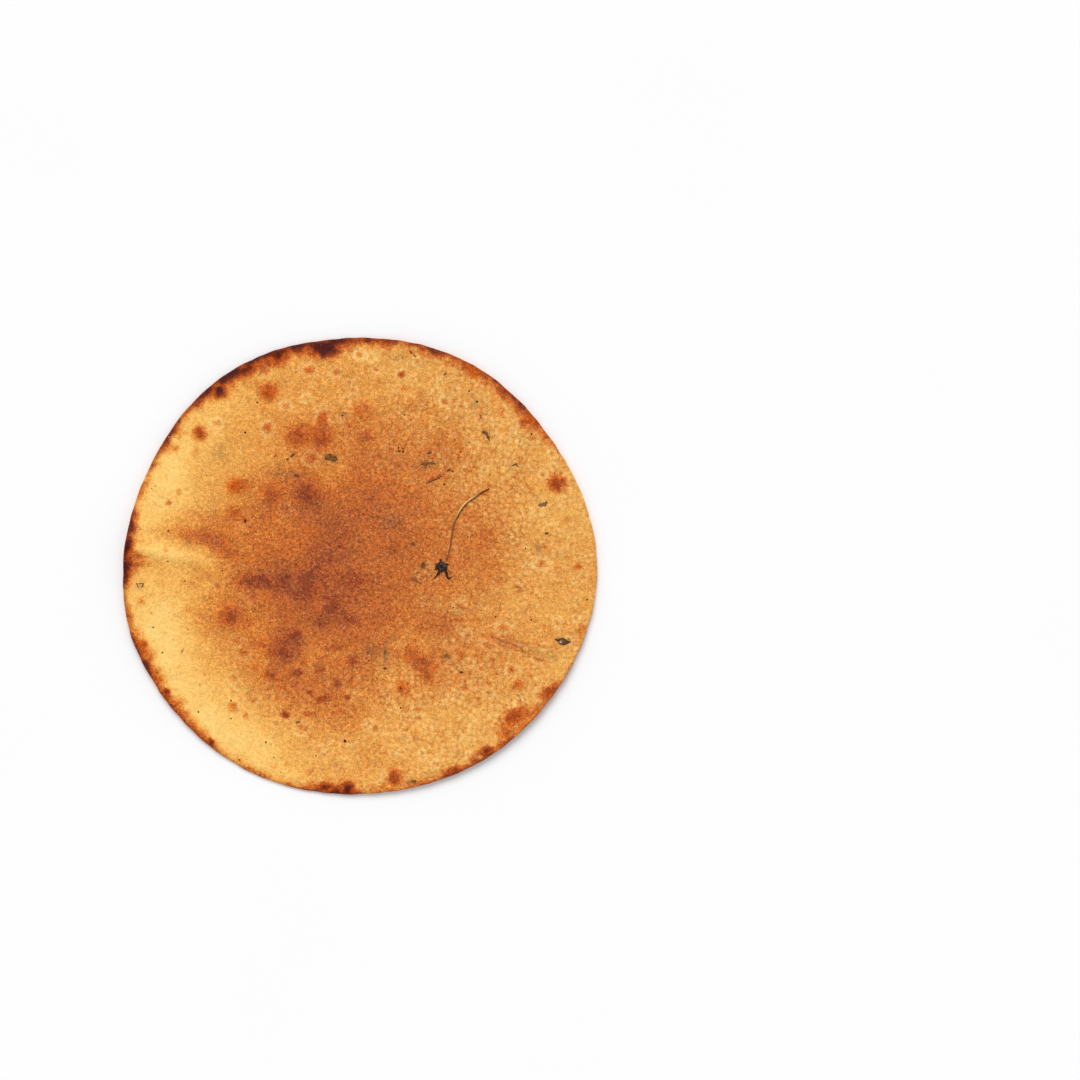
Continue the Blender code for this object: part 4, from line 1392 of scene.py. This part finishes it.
    def top_height(self, x: np.ndarray, y: np.ndarray) -> np.ndarray:
        """Height of the top face over the table, at places across and up."""
        turn = np.arctan2(y, x)
        reach = np.hypot(x, y) / self.shape.outline(turn)
        sheet = self.shape.lifted(reach, turn) + self.shape.pleated(x, y) + self.shape.thickness
        relief = self.shape.domed(x, y, self.blisters) + self.shape.swollen(x, y) - self.shape.creased(x, y)
        return sheet + relief + self.crust.relief.at(x, y)

    def height_at(self, x: float, y: float) -> float:
        """Height of the top face at one place in millimetres."""
        return float(self.top_height(np.array([x * MM]), np.array([y * MM]))[0])

    def lay_on(self, rings: Sequence[Sequence[tuple[float, float, float]]]) -> list[list[tuple[float, float, float]]]:
        """Lift rings of corners from the table onto the bread's top face.

        Args:
            rings: Rings of corners, whose heights are over the bread.

        Returns:
            The rings with heights over the table.
        """
        places = np.array(rings)
        flat = places.reshape(-1, 3)
        flat[:, 2] += self.top_height(flat[:, 0], flat[:, 1])
        return [[tuple(corner) for corner in ring_corners] for ring_corners in places.tolist()]

    def under_place(self, x: np.ndarray, y: np.ndarray) -> tuple[np.ndarray, np.ndarray]:
        """Where the underside reads the crust's canvases, so that it is browned unlike the top."""
        cos, sin = math.cos(self.under_turn), math.sin(self.under_turn)
        return -(x * cos - y * sin) * 0.985, (x * sin + y * cos) * 0.985

    def place_corners(self, flat: np.ndarray) -> np.ndarray:
        """Give the flat pattern the bread's form.

        Args:
            flat: Corners of the pattern.

        Returns:
            The corners' places on the bread.
        """
        shape = self.shape
        reach, turn = self.polar(flat)
        side = flat[:, 2]
        roundness = side * math.pi / 2
        lookup = np.linspace(-math.pi, math.pi, 2881)
        outline = np.interp((turn + math.pi) % (2 * math.pi) - math.pi, lookup, shape.outline(lookup))
        radius = reach * (outline - shape.rim_rounding) + shape.rim_rounding * np.cos(roundness) * (np.abs(side) < 1)
        x, y = radius * np.cos(turn), radius * np.sin(turn)
        under = shape.lifted(reach, turn) + shape.pleated(x, y)
        z = under + shape.thickness * (1 + np.sin(roundness)) / 2
        top = side > 0.25
        relief = shape.domed(x[top], y[top], self.blisters) + shape.swollen(x[top], y[top])
        relief += self.crust.relief.at(x[top], y[top]) - shape.creased(x[top], y[top])
        z[top] += relief * side[top]
        low = side < -0.75
        z[low] += shape.domed(x[low], y[low], self.hollows)
        return np.stack([x, y, z], axis=1)

    def carry_masks(self, mesh: bpy.types.Mesh, places: np.ndarray, side: np.ndarray) -> None:
        """Store the crust's masks on the mesh.

        Args:
            mesh: The bread's mesh.
            places: Its corners.
            side: The side of each corner.
        """
        under = side < -0.75
        x, y = places[:, 0].copy(), places[:, 1].copy()
        x[under], y[under] = self.under_place(x[under], y[under])
        crust = self.crust
        for name in ("toast", "blush", "scorch", "stain", "pale", "cobble"):
            values = getattr(crust, name).at(x, y)
            layer = mesh.attributes.new(name, "FLOAT", "POINT")
            layer.data.foreach_set("value", np.clip(values, 0.0, 1.5).astype(np.float32))

    def lay_map(self, mesh: bpy.types.Mesh, flat: np.ndarray) -> None:
        """Lay the surface out flat: the top with the rim as one large round, the underside as a small one.

        Args:
            mesh: The bread's mesh.
            flat: Corners of the pattern.
        """
        reach, turn = self.polar(flat)
        corners = np.empty(len(mesh.loops), dtype=np.int32)
        mesh.loops.foreach_get("vertex_index", corners)
        triangles = corners.reshape(-1, 3)
        lower = (flat[triangles, 2] < -0.75).all(axis=1)
        rim_width = 0.004
        rim = (1.0 - flat[:, 2]) / 0.5 * rim_width
        spread = self.map_top_share * (reach * (1 - 4 * rim_width) + np.where(reach > 0.999, rim, 0.0))
        low_spread = self.map_under_share * reach
        big = self.map_margin + self.map_top_share
        small = 1.0 - self.map_margin - self.map_under_share
        top_map = np.stack([big + spread * np.cos(turn), big + spread * np.sin(turn)], axis=1)
        low_map = np.stack([small + low_spread * np.cos(turn), small - low_spread * np.sin(turn)], axis=1)
        places = np.where(np.repeat(lower, 3)[:, None], low_map[corners], top_map[corners])
        layer = mesh.uv_layers.new(name="OFBake")
        layer.uv.foreach_set("vector", places.astype(np.float32).ravel())

    def build(self) -> bpy.types.Object:
        """Make the bread and dress it.

        Returns:
            The bread, which stands for the solid.
        """
        mesh = self.pattern()
        flat = np.empty(len(mesh.vertices) * 3, dtype=np.float32)
        mesh.vertices.foreach_get("co", flat)
        flat = flat.reshape(-1, 3).astype(float)
        places = self.place_corners(flat)
        mesh.vertices.foreach_set("co", places.astype(np.float32).ravel())
        mesh.update()
        self.carry_masks(mesh, places, flat[:, 2])
        self.lay_map(mesh, flat)
        mesh.shade_smooth()
        bread = new_object("bread", mesh, self.finish.material())
        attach(bread, BODY)
        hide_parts(NODE)
        return bread


@dataclass
class Shell:
    """Corners, triangles and tones of many small bits that are joined into one piece."""

    corners: list[tuple[float, float, float]] = field(default_factory=list)
    faces: list[tuple[int, ...]] = field(default_factory=list)
    tones: list[float] = field(default_factory=list)

    def add_rings(self, rings: Sequence[Sequence[tuple[float, float, float]]], tones: Sequence[Sequence[float]],
                  caps: bool = True) -> None:
        """Add a closed skin over rings that follow one another.

        Args:
            rings: Corners of each ring, all of one count.
            tones: How light each corner is.
            caps: Whether the ends are closed.
        """
        first = len(self.corners)
        count = len(rings[0])
        for ring_corners, ring_tones in zip(rings, tones):
            self.corners.extend(ring_corners)
            self.tones.extend(ring_tones)
        for row in range(len(rings) - 1):
            low, high = first + row * count, first + (row + 1) * count
            for step in range(count):
                after = (step + 1) % count
                self.faces.append((low + step, low + after, high + after, high + step))
        if caps:
            self.faces.append(tuple(first + step for step in reversed(range(count))))
            last = first + (len(rings) - 1) * count
            self.faces.append(tuple(last + step for step in range(count)))

    def build(self, name: str, finish: HerbFinish) -> bpy.types.Object:
        """Join the bits into one piece.

        Args:
            name: The piece's name.
            finish: Its finish.

        Returns:
            The piece, which rides with the bread.
        """
        mesh = bpy.data.meshes.new(name)
        mesh.from_pydata(self.corners, [], self.faces)
        layer = mesh.attributes.new("tone", "FLOAT", "POINT")
        layer.data.foreach_set("value", np.clip(self.tones, 0.0, 1.0).astype(np.float32))
        work = bmesh.new()
        work.from_mesh(mesh)
        bmesh.ops.triangulate(work, faces=work.faces)
        bmesh.ops.recalc_face_normals(work, faces=work.faces)
        work.to_mesh(mesh)
        work.free()
        mesh.shade_smooth()
        piece = new_object(name, mesh, finish.material())
        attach(piece, BODY)
        return piece


@dataclass(frozen=True)
class Flake:
    """A flat scrap of dried leaf, in millimetres and degrees."""

    x: float
    y: float
    length: float
    width: float
    turn: float
    tone: float = 0.35
    curl: float = 0.2


@dataclass
class HerbFlakes:
    """Scraps of dried leaf that lie in the skin of the bread."""

    bread: Bread
    finish: HerbFinish = HerbFinish("dried_leaf", srgb(80, 38, 10), srgb(156, 106, 54))
    flakes: tuple[Flake, ...] = (
        Flake(-11.3, 40.7, 4.2, 2.6, 0, 0.62),
        Flake(-10.0, 40.0, 2.2, 1.6, 30, 0.50),
        Flake(24.6, 38.5, 3.4, 1.2, 4, 0.55),
        Flake(27.2, 38.6, 2.6, 1.0, -6, 0.62),
        Flake(26.0, 42.6, 1.9, 1.0, 25, 0.22),
        Flake(14.2, 44.4, 1.2, 0.6, 60, 0.20),
        Flake(15.8, 44.2, 1.1, 0.6, -30, 0.25),
        Flake(14.5, 43.2, 1.2, 0.6, 10, 0.22),
        Flake(15.9, 43.0, 1.2, 0.7, 40, 0.20),
        Flake(27.6, 32.2, 5.6, 0.5, 24, 0.40),
        Flake(46.9, 50.2, 2.6, 1.1, -12, 0.55),
        Flake(48.0, 48.6, 3.8, 0.9, -60, 0.52),
        Flake(58.4, 38.2, 2.3, 0.6, 25, 0.45),
        Flake(59.0, 37.9, 1.8, 0.6, -65, 0.42),
        Flake(69.0, 23.0, 3.2, 1.6, 12, 0.88),
        Flake(70.0, 23.6, 1.8, 1.0, 70, 0.72),
        Flake(19.5, 8.0, 2.8, 0.9, -20, 0.66),
        Flake(23.5, 0.0, 2.6, 1.3, 80, 0.48),
        Flake(20.8, -5.8, 3.4, 1.1, -28, 0.75),
        Flake(32.0, -34.2, 2.2, 0.9, 62, 0.70),
        Flake(33.0, -34.6, 2.2, 0.7, -58, 0.74),
        Flake(9.1, -33.0, 2.0, 0.8, 86, 0.70),
        Flake(9.0, -39.0, 1.2, 0.9, 20, 0.20),
        Flake(-24.5, 34.0, 2.2, 1.2, -20, 0.42),
        Flake(-26.0, 41.6, 1.7, 0.9, 50, 0.32),
        Flake(-27.8, 40.2, 1.1, 0.7, 20, 0.40),
        Flake(-84.4, -7.5, 2.2, 0.45, -62, 0.40),
        Flake(-83.1, -6.9, 2.4, 0.4, 6, 0.45),
        Flake(-82.4, -7.7, 1.8, 0.45, 58, 0.40),
        Flake(-67.5, -32.3, 1.7, 0.4, 62, 0.70),
        Flake(-24.0, -59.4, 1.6, 0.9, 15, 0.80),
        Flake(20.1, -81.7, 2.0, 0.9, 0, 0.45),
        Flake(33.2, 36.0, 1.8, 0.8, 25, 0.30),
        Flake(34.6, 35.6, 1.0, 0.6, -30, 0.45),
        Flake(70.3, 12.2, 1.7, 0.9, 20, 0.35),
        Flake(-32.5, 41.4, 1.8, 0.4, 55, 0.45),
        Flake(38.2, -40.4, 1.2, 1.0, 10, 0.10),
        Flake(45.4, 56.4, 2.4, 0.4, -65, 0.35),
        Flake(31.9, 72.4, 1.5, 0.7, 40, 0.55),
        Flake(19.0, 80.6, 1.6, 0.5, -55, 0.35),
        Flake(20.4, 79.2, 1.5, 0.4, -50, 0.35),
    )
    spokes: int = 22
    rows: int = 5
    rise: float = 0.12
    sink: float = 0.25
    raggedness: float = 0.46

    def add_flake(self, shell: Shell, flake: Flake, draw: random.Random) -> None:
        """Add one scrap.

        Args:
            shell: What it is added to.
            flake: Its place and size.
            draw: Random numbers for its edge.
        """
        cos, sin = math.cos(math.radians(flake.turn)), math.sin(math.radians(flake.turn))
        seed = Vector((flake.x, flake.y, draw.uniform(0.0, 50.0)))
        rings, tones = [], []
        for row in range(self.rows * 2):
            upper = row < self.rows
            share = abs((self.rows - 0.5 - row) / (self.rows - 0.5))
            ring_corners, ring_tones = [], []
            for spoke in range(self.spokes):
                turn = 2 * math.pi * spoke / self.spokes
                jag = noise.noise(seed + Vector((math.cos(turn), math.sin(turn), 0.0)) * 1.7)
                edge = 1.0 + self.raggedness * (jag + 0.5 * noise.noise(seed * 2 + Vector((turn * 2.2, 0.0, 0.0))))
                out = share ** 0.7 * edge
                along, over = out * math.cos(turn) * flake.length / 2, out * math.sin(turn) * flake.width / 2
                x, y = flake.x + along * cos - over * sin, flake.y + along * sin + over * cos
                lift = self.rise * (1 - share ** 3) + flake.curl * 0.5 * (out * math.cos(turn + seed.z)) ** 2 * 0.4
                height = lift if upper else -self.sink
                ring_corners.append((x * MM, y * MM, height * MM))
                wrinkle = noise.noise(Vector((x * 2.1, y * 2.1, seed.z)))
                ring_tones.append(flake.tone + 0.35 * wrinkle - 0.20 * share)
            rings.append(ring_corners)
            tones.append(ring_tones)
        shell.add_rings(self.bread.lay_on(rings), tones)

    def build(self) -> bpy.types.Object:
        """Make the scraps as one piece."""
        draw = random.Random(71)
        shell = Shell()
        for flake in self.flakes:
            self.add_flake(shell, flake, draw)
        flakes = shell.build("herb_flakes", self.finish)
        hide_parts(NODE)
        return flakes


@dataclass
class PepperSpecks:
    """Dark specks of spice, a few large ones and many that are as fine as dust."""

    bread: Bread
    finish: HerbFinish = HerbFinish("spice_specks", srgb(48, 18, 4), srgb(128, 66, 24), 0.6)
    specks: tuple[tuple[float, float, float], ...] = (
        (-72.8, 13.0, 0.45),
        (-72.8, 1.5, 0.40),
        (-39.2, 61.7, 0.50),
        (-43.8, 50.3, 0.55),
        (-44.0, 16.5, 0.50),
        (-49.2, -51.3, 0.50),
        (-49.2, -58.0, 0.40),
        (-61.5, -55.5, 0.45),
        (-46.0, -73.7, 0.45),
        (-6.0, -66.5, 0.75),
        (-17.0, -72.0, 0.45),
        (-36.0, -67.0, 0.45),
        (-33.0, -72.8, 0.40),
        (-75.0, -33.0, 0.45),
        (-78.5, -23.5, 0.45),
        (15.0, -46.5, 0.50),
        (15.0, -54.0, 0.45),
        (3.0, -36.0, 0.45),
        (51.0, -19.5, 0.45),
        (35.0, -16.0, 0.40),
        (64.5, -20.7, 0.45),
        (66.0, -21.5, 0.35),
        (85.6, -13.0, 0.45),
        (16.5, 57.0, 0.50),
        (41.0, 66.0, 0.45),
        (64.5, 49.7, 0.45),
        (35.5, 47.5, 0.40),
        (37.7, 43.0, 0.40),
        (62.3, 6.5, 0.40),
        (44.0, 62.0, 0.60),
        (-7.0, 56.7, 0.42),
        (-5.9, 57.4, 0.28),
        (31.5, 30.7, 0.55),
        (-66.5, -6.0, 0.45),
        (-52.5, -2.0, 0.40),
        (-43.8, 17.0, 0.60),
        (-79.0, 29.0, 0.35),
        (-77.5, 30.0, 0.35),
    )
    dust_count: int = 120
    dust_radii: tuple[float, float] = (0.10, 0.24)
    large_share: float = 0.8
    spokes: int = 9
    rows: int = 4
    rise: float = 0.42
    reach: float = 0.96

    def add_speck(self, shell: Shell, x: float, y: float, radius: float, tone: float) -> None:
        """Add one speck, half sunk in the bread.

        Args:
            shell: What it is added to.
            x: Its place across, in millimetres.
            y: Its place up, in millimetres.
            radius: Its radius, in millimetres.
            tone: How light it is.
        """
        rings, tones = [], []
        for row in range(self.rows):
            angle = math.pi / 2 * (row + 0.5) / self.rows
            ring_corners = []
            for spoke in range(self.spokes):
                turn = 2 * math.pi * spoke / self.spokes
                uneven = 1.0 + 0.5 * noise.noise(Vector((x + math.cos(turn), y + math.sin(turn), radius)))
                out = radius * math.sin(angle) * uneven
                height = radius * self.rise * math.cos(angle) - 0.02
                ring_corners.append(((x + out * math.cos(turn)) * MM, (y + out * math.sin(turn)) * MM, height * MM))
            rings.append(ring_corners)
            tones.append([tone] * self.spokes)
        rings.append([(corner[0], corner[1], -0.15 * MM) for corner in rings[-1]])
        tones.append([tone] * self.spokes)
        shell.add_rings(self.bread.lay_on(rings), tones)

    def build(self) -> bpy.types.Object:
        """Make the specks as one piece."""
        draw = random.Random(72)
        shell = Shell()
        for x, y, radius in self.specks:
            self.add_speck(shell, x, y, radius * self.large_share, 0.15)
        mean_radius = self.bread.shape.mean_radius / MM
        for _ in range(self.dust_count):
            reach = mean_radius * self.reach * math.sqrt(draw.random())
            turn = draw.uniform(-math.pi, math.pi)
            radius = draw.uniform(*self.dust_radii)
            self.add_speck(shell, reach * math.cos(turn), reach * math.sin(turn), radius, draw.uniform(0.1, 0.9))
        return shell.build("spice_specks", self.finish)


def smooth_route(stops: Sequence[Sequence[float]], steps: int) -> list[Vector]:
    """Find points along a smooth curve through the stops.

    Args:
        stops: Places that the curve goes through.
        steps: Points for each stretch.

    Returns:
        The points.
    """
    points = [Vector(stop) for stop in stops]
    padded = [2 * points[0] - points[1], *points, 2 * points[-1] - points[-2]]
    route = []
    for before, start, end, after in zip(padded, padded[1:], padded[2:], padded[3:]):
        for step in range(steps):
            share = step / steps
            bend = (2 * before - 5 * start + 4 * end - after) * share ** 2
            twist = (3 * start - before - 3 * end + after) * share ** 3
            route.append(start + ((end - before) * share + bend + twist) / 2)
    route.append(points[-1])
    return route


@dataclass(frozen=True)
class Strand:
    """A thin stalk that lies on the bread, given by stops of place across, place up, rise and radius."""

    stops: tuple[tuple[float, float, float, float], ...]
    steps: int = 7
    spokes: int = 10
    light_from: float = 122
    light_low: float = 0.05
    light_at: float = 0.34
    light_reach: float = 0.17
    far_tone: float = 0.08

    def add_to(self, shell: Shell, bread: Bread, lightness: float) -> None:
        """Add the stalk.

        Args:
            shell: What it is added to.
            bread: What it lies on.
            lightness: How light its lit side is.
        """
        route = smooth_route(self.stops, self.steps)
        rings, tones = [], []
        for number, point in enumerate(route):
            before, after = route[max(0, number - 1)], route[min(len(route) - 1, number + 1)]
            heading = math.atan2(after[1] - before[1], after[0] - before[0])
            base = bread.height_at(point[0], point[1])
            uneven = 1.0 + 0.30 * noise.noise(Vector((point[0] * 1.3, point[1] * 1.3, 4.0)))
            radius = max(0.05, point[3]) * uneven
            share = number / (len(route) - 1)
            # How strongly the painted highlight shows along the stalk.
            along = self.light_low + (1.0 - self.light_low) * math.exp(-(((share - self.light_at) / self.light_reach) ** 4))
            far = self.far_tone if share > self.light_at + self.light_reach else 0.0
            ring_corners, ring_tones = [], []
            for spoke in range(self.spokes):
                turn = 2 * math.pi * spoke / self.spokes
                aside, up = radius * math.cos(turn), radius * math.sin(turn) * 0.8
                x, y = point[0] - aside * math.sin(heading), point[1] + aside * math.cos(heading)
                ring_corners.append((x * MM, y * MM, base + (point[2] + up) * MM))
                # Painted highlight on the side that faces the light; the far side is left dark as painted shade.
                lit = max(0.0, math.cos(turn - math.radians(self.light_from))) ** 4
                ring_tones.append(lightness * along * lit + 0.1 * (uneven - 1.0) + far)
            rings.append(ring_corners)
            tones.append(ring_tones)
        shell.add_rings(rings, tones)


@dataclass
class Seed:
    """One ridged seed, half sunk in the bread."""

    bread: Bread
    # Its light colour serves the painted highlight.
    finish: HerbFinish = HerbFinish("seed", srgb(72, 36, 8), srgb(236, 196, 150), 0.5, mottle=0.4)
    place: tuple[float, float] = (76.5, -28.8)
    length: float = 4.2
    width: float = 2.5
    height: float = 1.35
    turn: float = -12
    spokes: int = 36
    rows: int = 18
    ridges: int = 9
    ridge_depth: float = 0.10
    tails: tuple[Strand, ...] = (
        Strand(((75.2, -28.5, 0.20, 0.60), (74.2, -28.1, 0.10, 0.42), (73.2, -28.0, -0.05, 0.20))),
        Strand(((77.8, -29.0, 0.20, 0.60), (78.7, -29.0, 0.10, 0.42), (79.5, -28.8, -0.05, 0.20))),
    )

    def build(self) -> bpy.types.Object:
        """Make the seed with ridges along it."""
        cos, sin = math.cos(math.radians(self.turn)), math.sin(math.radians(self.turn))
        base = self.bread.height_at(*self.place)
        rings, tones = [], []
        for row in range(self.rows + 1):
            along = -math.cos(math.pi * (row + 0.15) / (self.rows + 0.3))
            girth = max(0.02, 1.0 - abs(along) ** 2.2) ** 0.75 * (1.0 - 0.12 * along)
            ring_corners, ring_tones = [], []
            for spoke in range(self.spokes):
                turn = 2 * math.pi * spoke / self.spokes
                ridge = math.cos(turn * self.ridges)
                out = girth * (1.0 + self.ridge_depth * ridge)
                over, up = out * math.cos(turn) * self.width / 2, out * math.sin(turn) * self.height / 2
                forward = along * self.length / 2
                x, y = self.place[0] + forward * cos - over * sin, self.place[1] + forward * sin + over * cos
                ring_corners.append((x * MM, y * MM, base + up * MM))
                # A small painted highlight on the top of the seed, near one end.
                painted_highlight = max(0.0, math.cos(turn - 1.9)) ** 12 * max(0.0, 1.0 - 9.0 * (along + 0.45) ** 2)
                ring_tones.append(0.08 + 0.75 * painted_highlight + 0.08 * ridge)
            rings.append(ring_corners)
            tones.append(ring_tones)
        shell = Shell()
        shell.add_rings(rings, tones)
        for tail in self.tails:
            tail.add_to(shell, self.bread, 0.1)
        seed = shell.build("seed", self.finish)
        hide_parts(NODE)
        return seed


@dataclass
class HerbStem:
    """The thin curved stalk, half sunk in the crust."""

    bread: Bread
    # The light colour is the stalk's painted highlight.
    finish: HerbFinish = HerbFinish("herb_stem", srgb(96, 42, 8), srgb(255, 216, 134), 0.5, mottle=0.2)
    strand: Strand = Strand((
        (48.6, 29.0, 0.06, 0.26),
        (44.2, 26.6, 0.22, 0.42),
        (39.4, 23.2, 0.26, 0.48),
        (36.2, 18.2, 0.24, 0.44),
        (34.8, 13.4, 0.10, 0.32),
        (33.6, 6.4, -0.04, 0.24),
        (32.5, 1.6, 0.10, 0.26),
    ))

    def build(self) -> bpy.types.Object:
        """Make the stalk."""
        shell = Shell()
        self.strand.add_to(shell, self.bread, 1.0)
        stem = shell.build("herb_stem", self.finish)
        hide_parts(NODE)
        return stem


@dataclass
class CurledLeaf:
    """The near black curled leaf with its short legs."""

    bread: Bread
    finish: HerbFinish = HerbFinish("curled_leaf", srgb(42, 22, 12), srgb(124, 106, 100), 0.45, 0.12)
    place: tuple[float, float] = (30.5, -0.5)
    length: float = 4.4
    width: float = 3.7
    height: float = 1.2
    turn: float = 25
    spokes: int = 32
    rows: int = 16
    lumpiness: float = 0.34
    legs: tuple[Strand, ...] = (
        Strand(((30.4, 0.6, 0.3, 0.60), (30.2, 1.6, 0.3, 0.40), (30.0, 2.5, 0.1, 0.14))),
        Strand(((29.8, 0.2, 0.3, 0.50), (28.7, 0.5, 0.2, 0.32), (27.9, 0.4, 0.1, 0.12))),
        Strand(((31.4, 0.2, 0.3, 0.50), (32.6, 0.4, 0.2, 0.34), (33.5, 0.3, 0.1, 0.14))),
        Strand(((29.4, -0.9, 0.3, 0.50), (28.4, -1.4, 0.2, 0.30), (27.8, -1.8, 0.1, 0.12))),
        Strand(((29.8, -2.0, 0.3, 0.55), (29.2, -3.2, 0.25, 0.38), (27.7, -4.9, 0.1, 0.16))),
        Strand(((31.9, -1.4, 0.3, 0.55), (32.4, -3.0, 0.3, 0.40), (32.7, -4.4, 0.25, 0.34),
                (33.5, -5.0, 0.2, 0.28), (34.3, -4.4, 0.1, 0.14))),
    )

    def build(self) -> bpy.types.Object:
        """Make the leaf's folded middle and its legs."""
        cos, sin = math.cos(math.radians(self.turn)), math.sin(math.radians(self.turn))
        base = self.bread.height_at(*self.place)
        rings, tones = [], []
        for row in range(self.rows + 1):
            tilt = math.pi * (row + 0.3) / (self.rows + 0.6)
            ring_corners, ring_tones = [], []
            for spoke in range(self.spokes):
                turn = 2 * math.pi * spoke / self.spokes
                way = Vector((math.sin(tilt) * math.cos(turn), math.sin(tilt) * math.sin(turn), math.cos(tilt)))
                lump = noise.noise(way * 1.7 + Vector((3.1, 7.7, 1.3)))
                fold = noise.noise(way * 4.2 + Vector((9.1, 2.7, 5.3)))
                out = 1.0 + self.lumpiness * lump + 0.14 * fold
                along, over = way.x * out * self.length / 2, way.y * out * self.width / 2
                x, y = self.place[0] + along * cos - over * sin, self.place[1] + along * sin + over * cos
                ring_corners.append((x * MM, y * MM, base + (0.15 + way.z * out * self.height / 2) * MM))
                ring_tones.append(0.10 + 0.55 * fold + 0.25 * max(0.0, way.z) * lump)
            rings.append(ring_corners)
            tones.append(ring_tones)
        shell = Shell()
        shell.add_rings(rings, tones)
        for leg in self.legs:
            leg.add_to(shell, self.bread, 0.12)
        leaf = shell.build("curled_leaf", self.finish)
        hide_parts(NODE)
        return leaf


@dataclass
class Studio:
    """A pale floor, soft light from the upper left and a camera that looks straight down."""

    floor_finish: FloorFinish = field(default_factory=FloorFinish)
    floor_width: float = 14.0
    floor_steps: int = 8
    sky: Colour = (1.0, 1.0, 1.0, 1.0)
    sky_strength: float = 0.60
    sun_strength: float = 1.78
    sun_angle: float = math.radians(38)
    sun_turn: tuple[float, float, float] = (math.radians(-44), 0.0, math.radians(8))
    camera_place: tuple[float, float, float] = (0.0678, 0.0096, 0.967)
    lens: float = 85.0

    def build(self) -> None:
        """Set up the floor, the light and the camera."""
        work = bmesh.new()
        bmesh.ops.create_grid(work, x_segments=self.floor_steps, y_segments=self.floor_steps,
                              size=self.floor_width / 2)
        mesh = bpy.data.meshes.new("floor")
        work.to_mesh(mesh)
        work.free()
        new_object("floor", mesh, self.floor_finish.material())
        scene = bpy.context.scene
        world = bpy.data.worlds.new("sky")
        world.use_nodes = True
        background = world.node_tree.nodes["Background"]
        background.inputs["Color"].default_value = self.sky
        background.inputs["Strength"].default_value = self.sky_strength
        scene.world = world
        sun = bpy.data.lights.new("window_light", "SUN")
        sun.energy = self.sun_strength
        sun.angle = self.sun_angle
        lamp = bpy.data.objects.new("window_light", sun)
        lamp.rotation_euler = Euler(self.sun_turn)
        scene.collection.objects.link(lamp)
        view = bpy.data.cameras.new("camera")
        view.lens = self.lens
        camera = bpy.data.objects.new("camera", view)
        camera.location = self.camera_place
        scene.collection.objects.link(camera)
        scene.camera = camera
        scene.view_settings.view_transform = "Standard"


def main() -> None:
    """Build the bread, what lies on it and the studio."""
    logging.basicConfig(level=logging.INFO, format="%(message)s")
    bread = Bread()
    report(bread.build())
    for part in (HerbFlakes(bread), PepperSpecks(bread), Seed(bread), HerbStem(bread), CurledLeaf(bread)):
        report(part.build())
    Studio().build()
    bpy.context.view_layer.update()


if __name__ == "__main__":
    main()
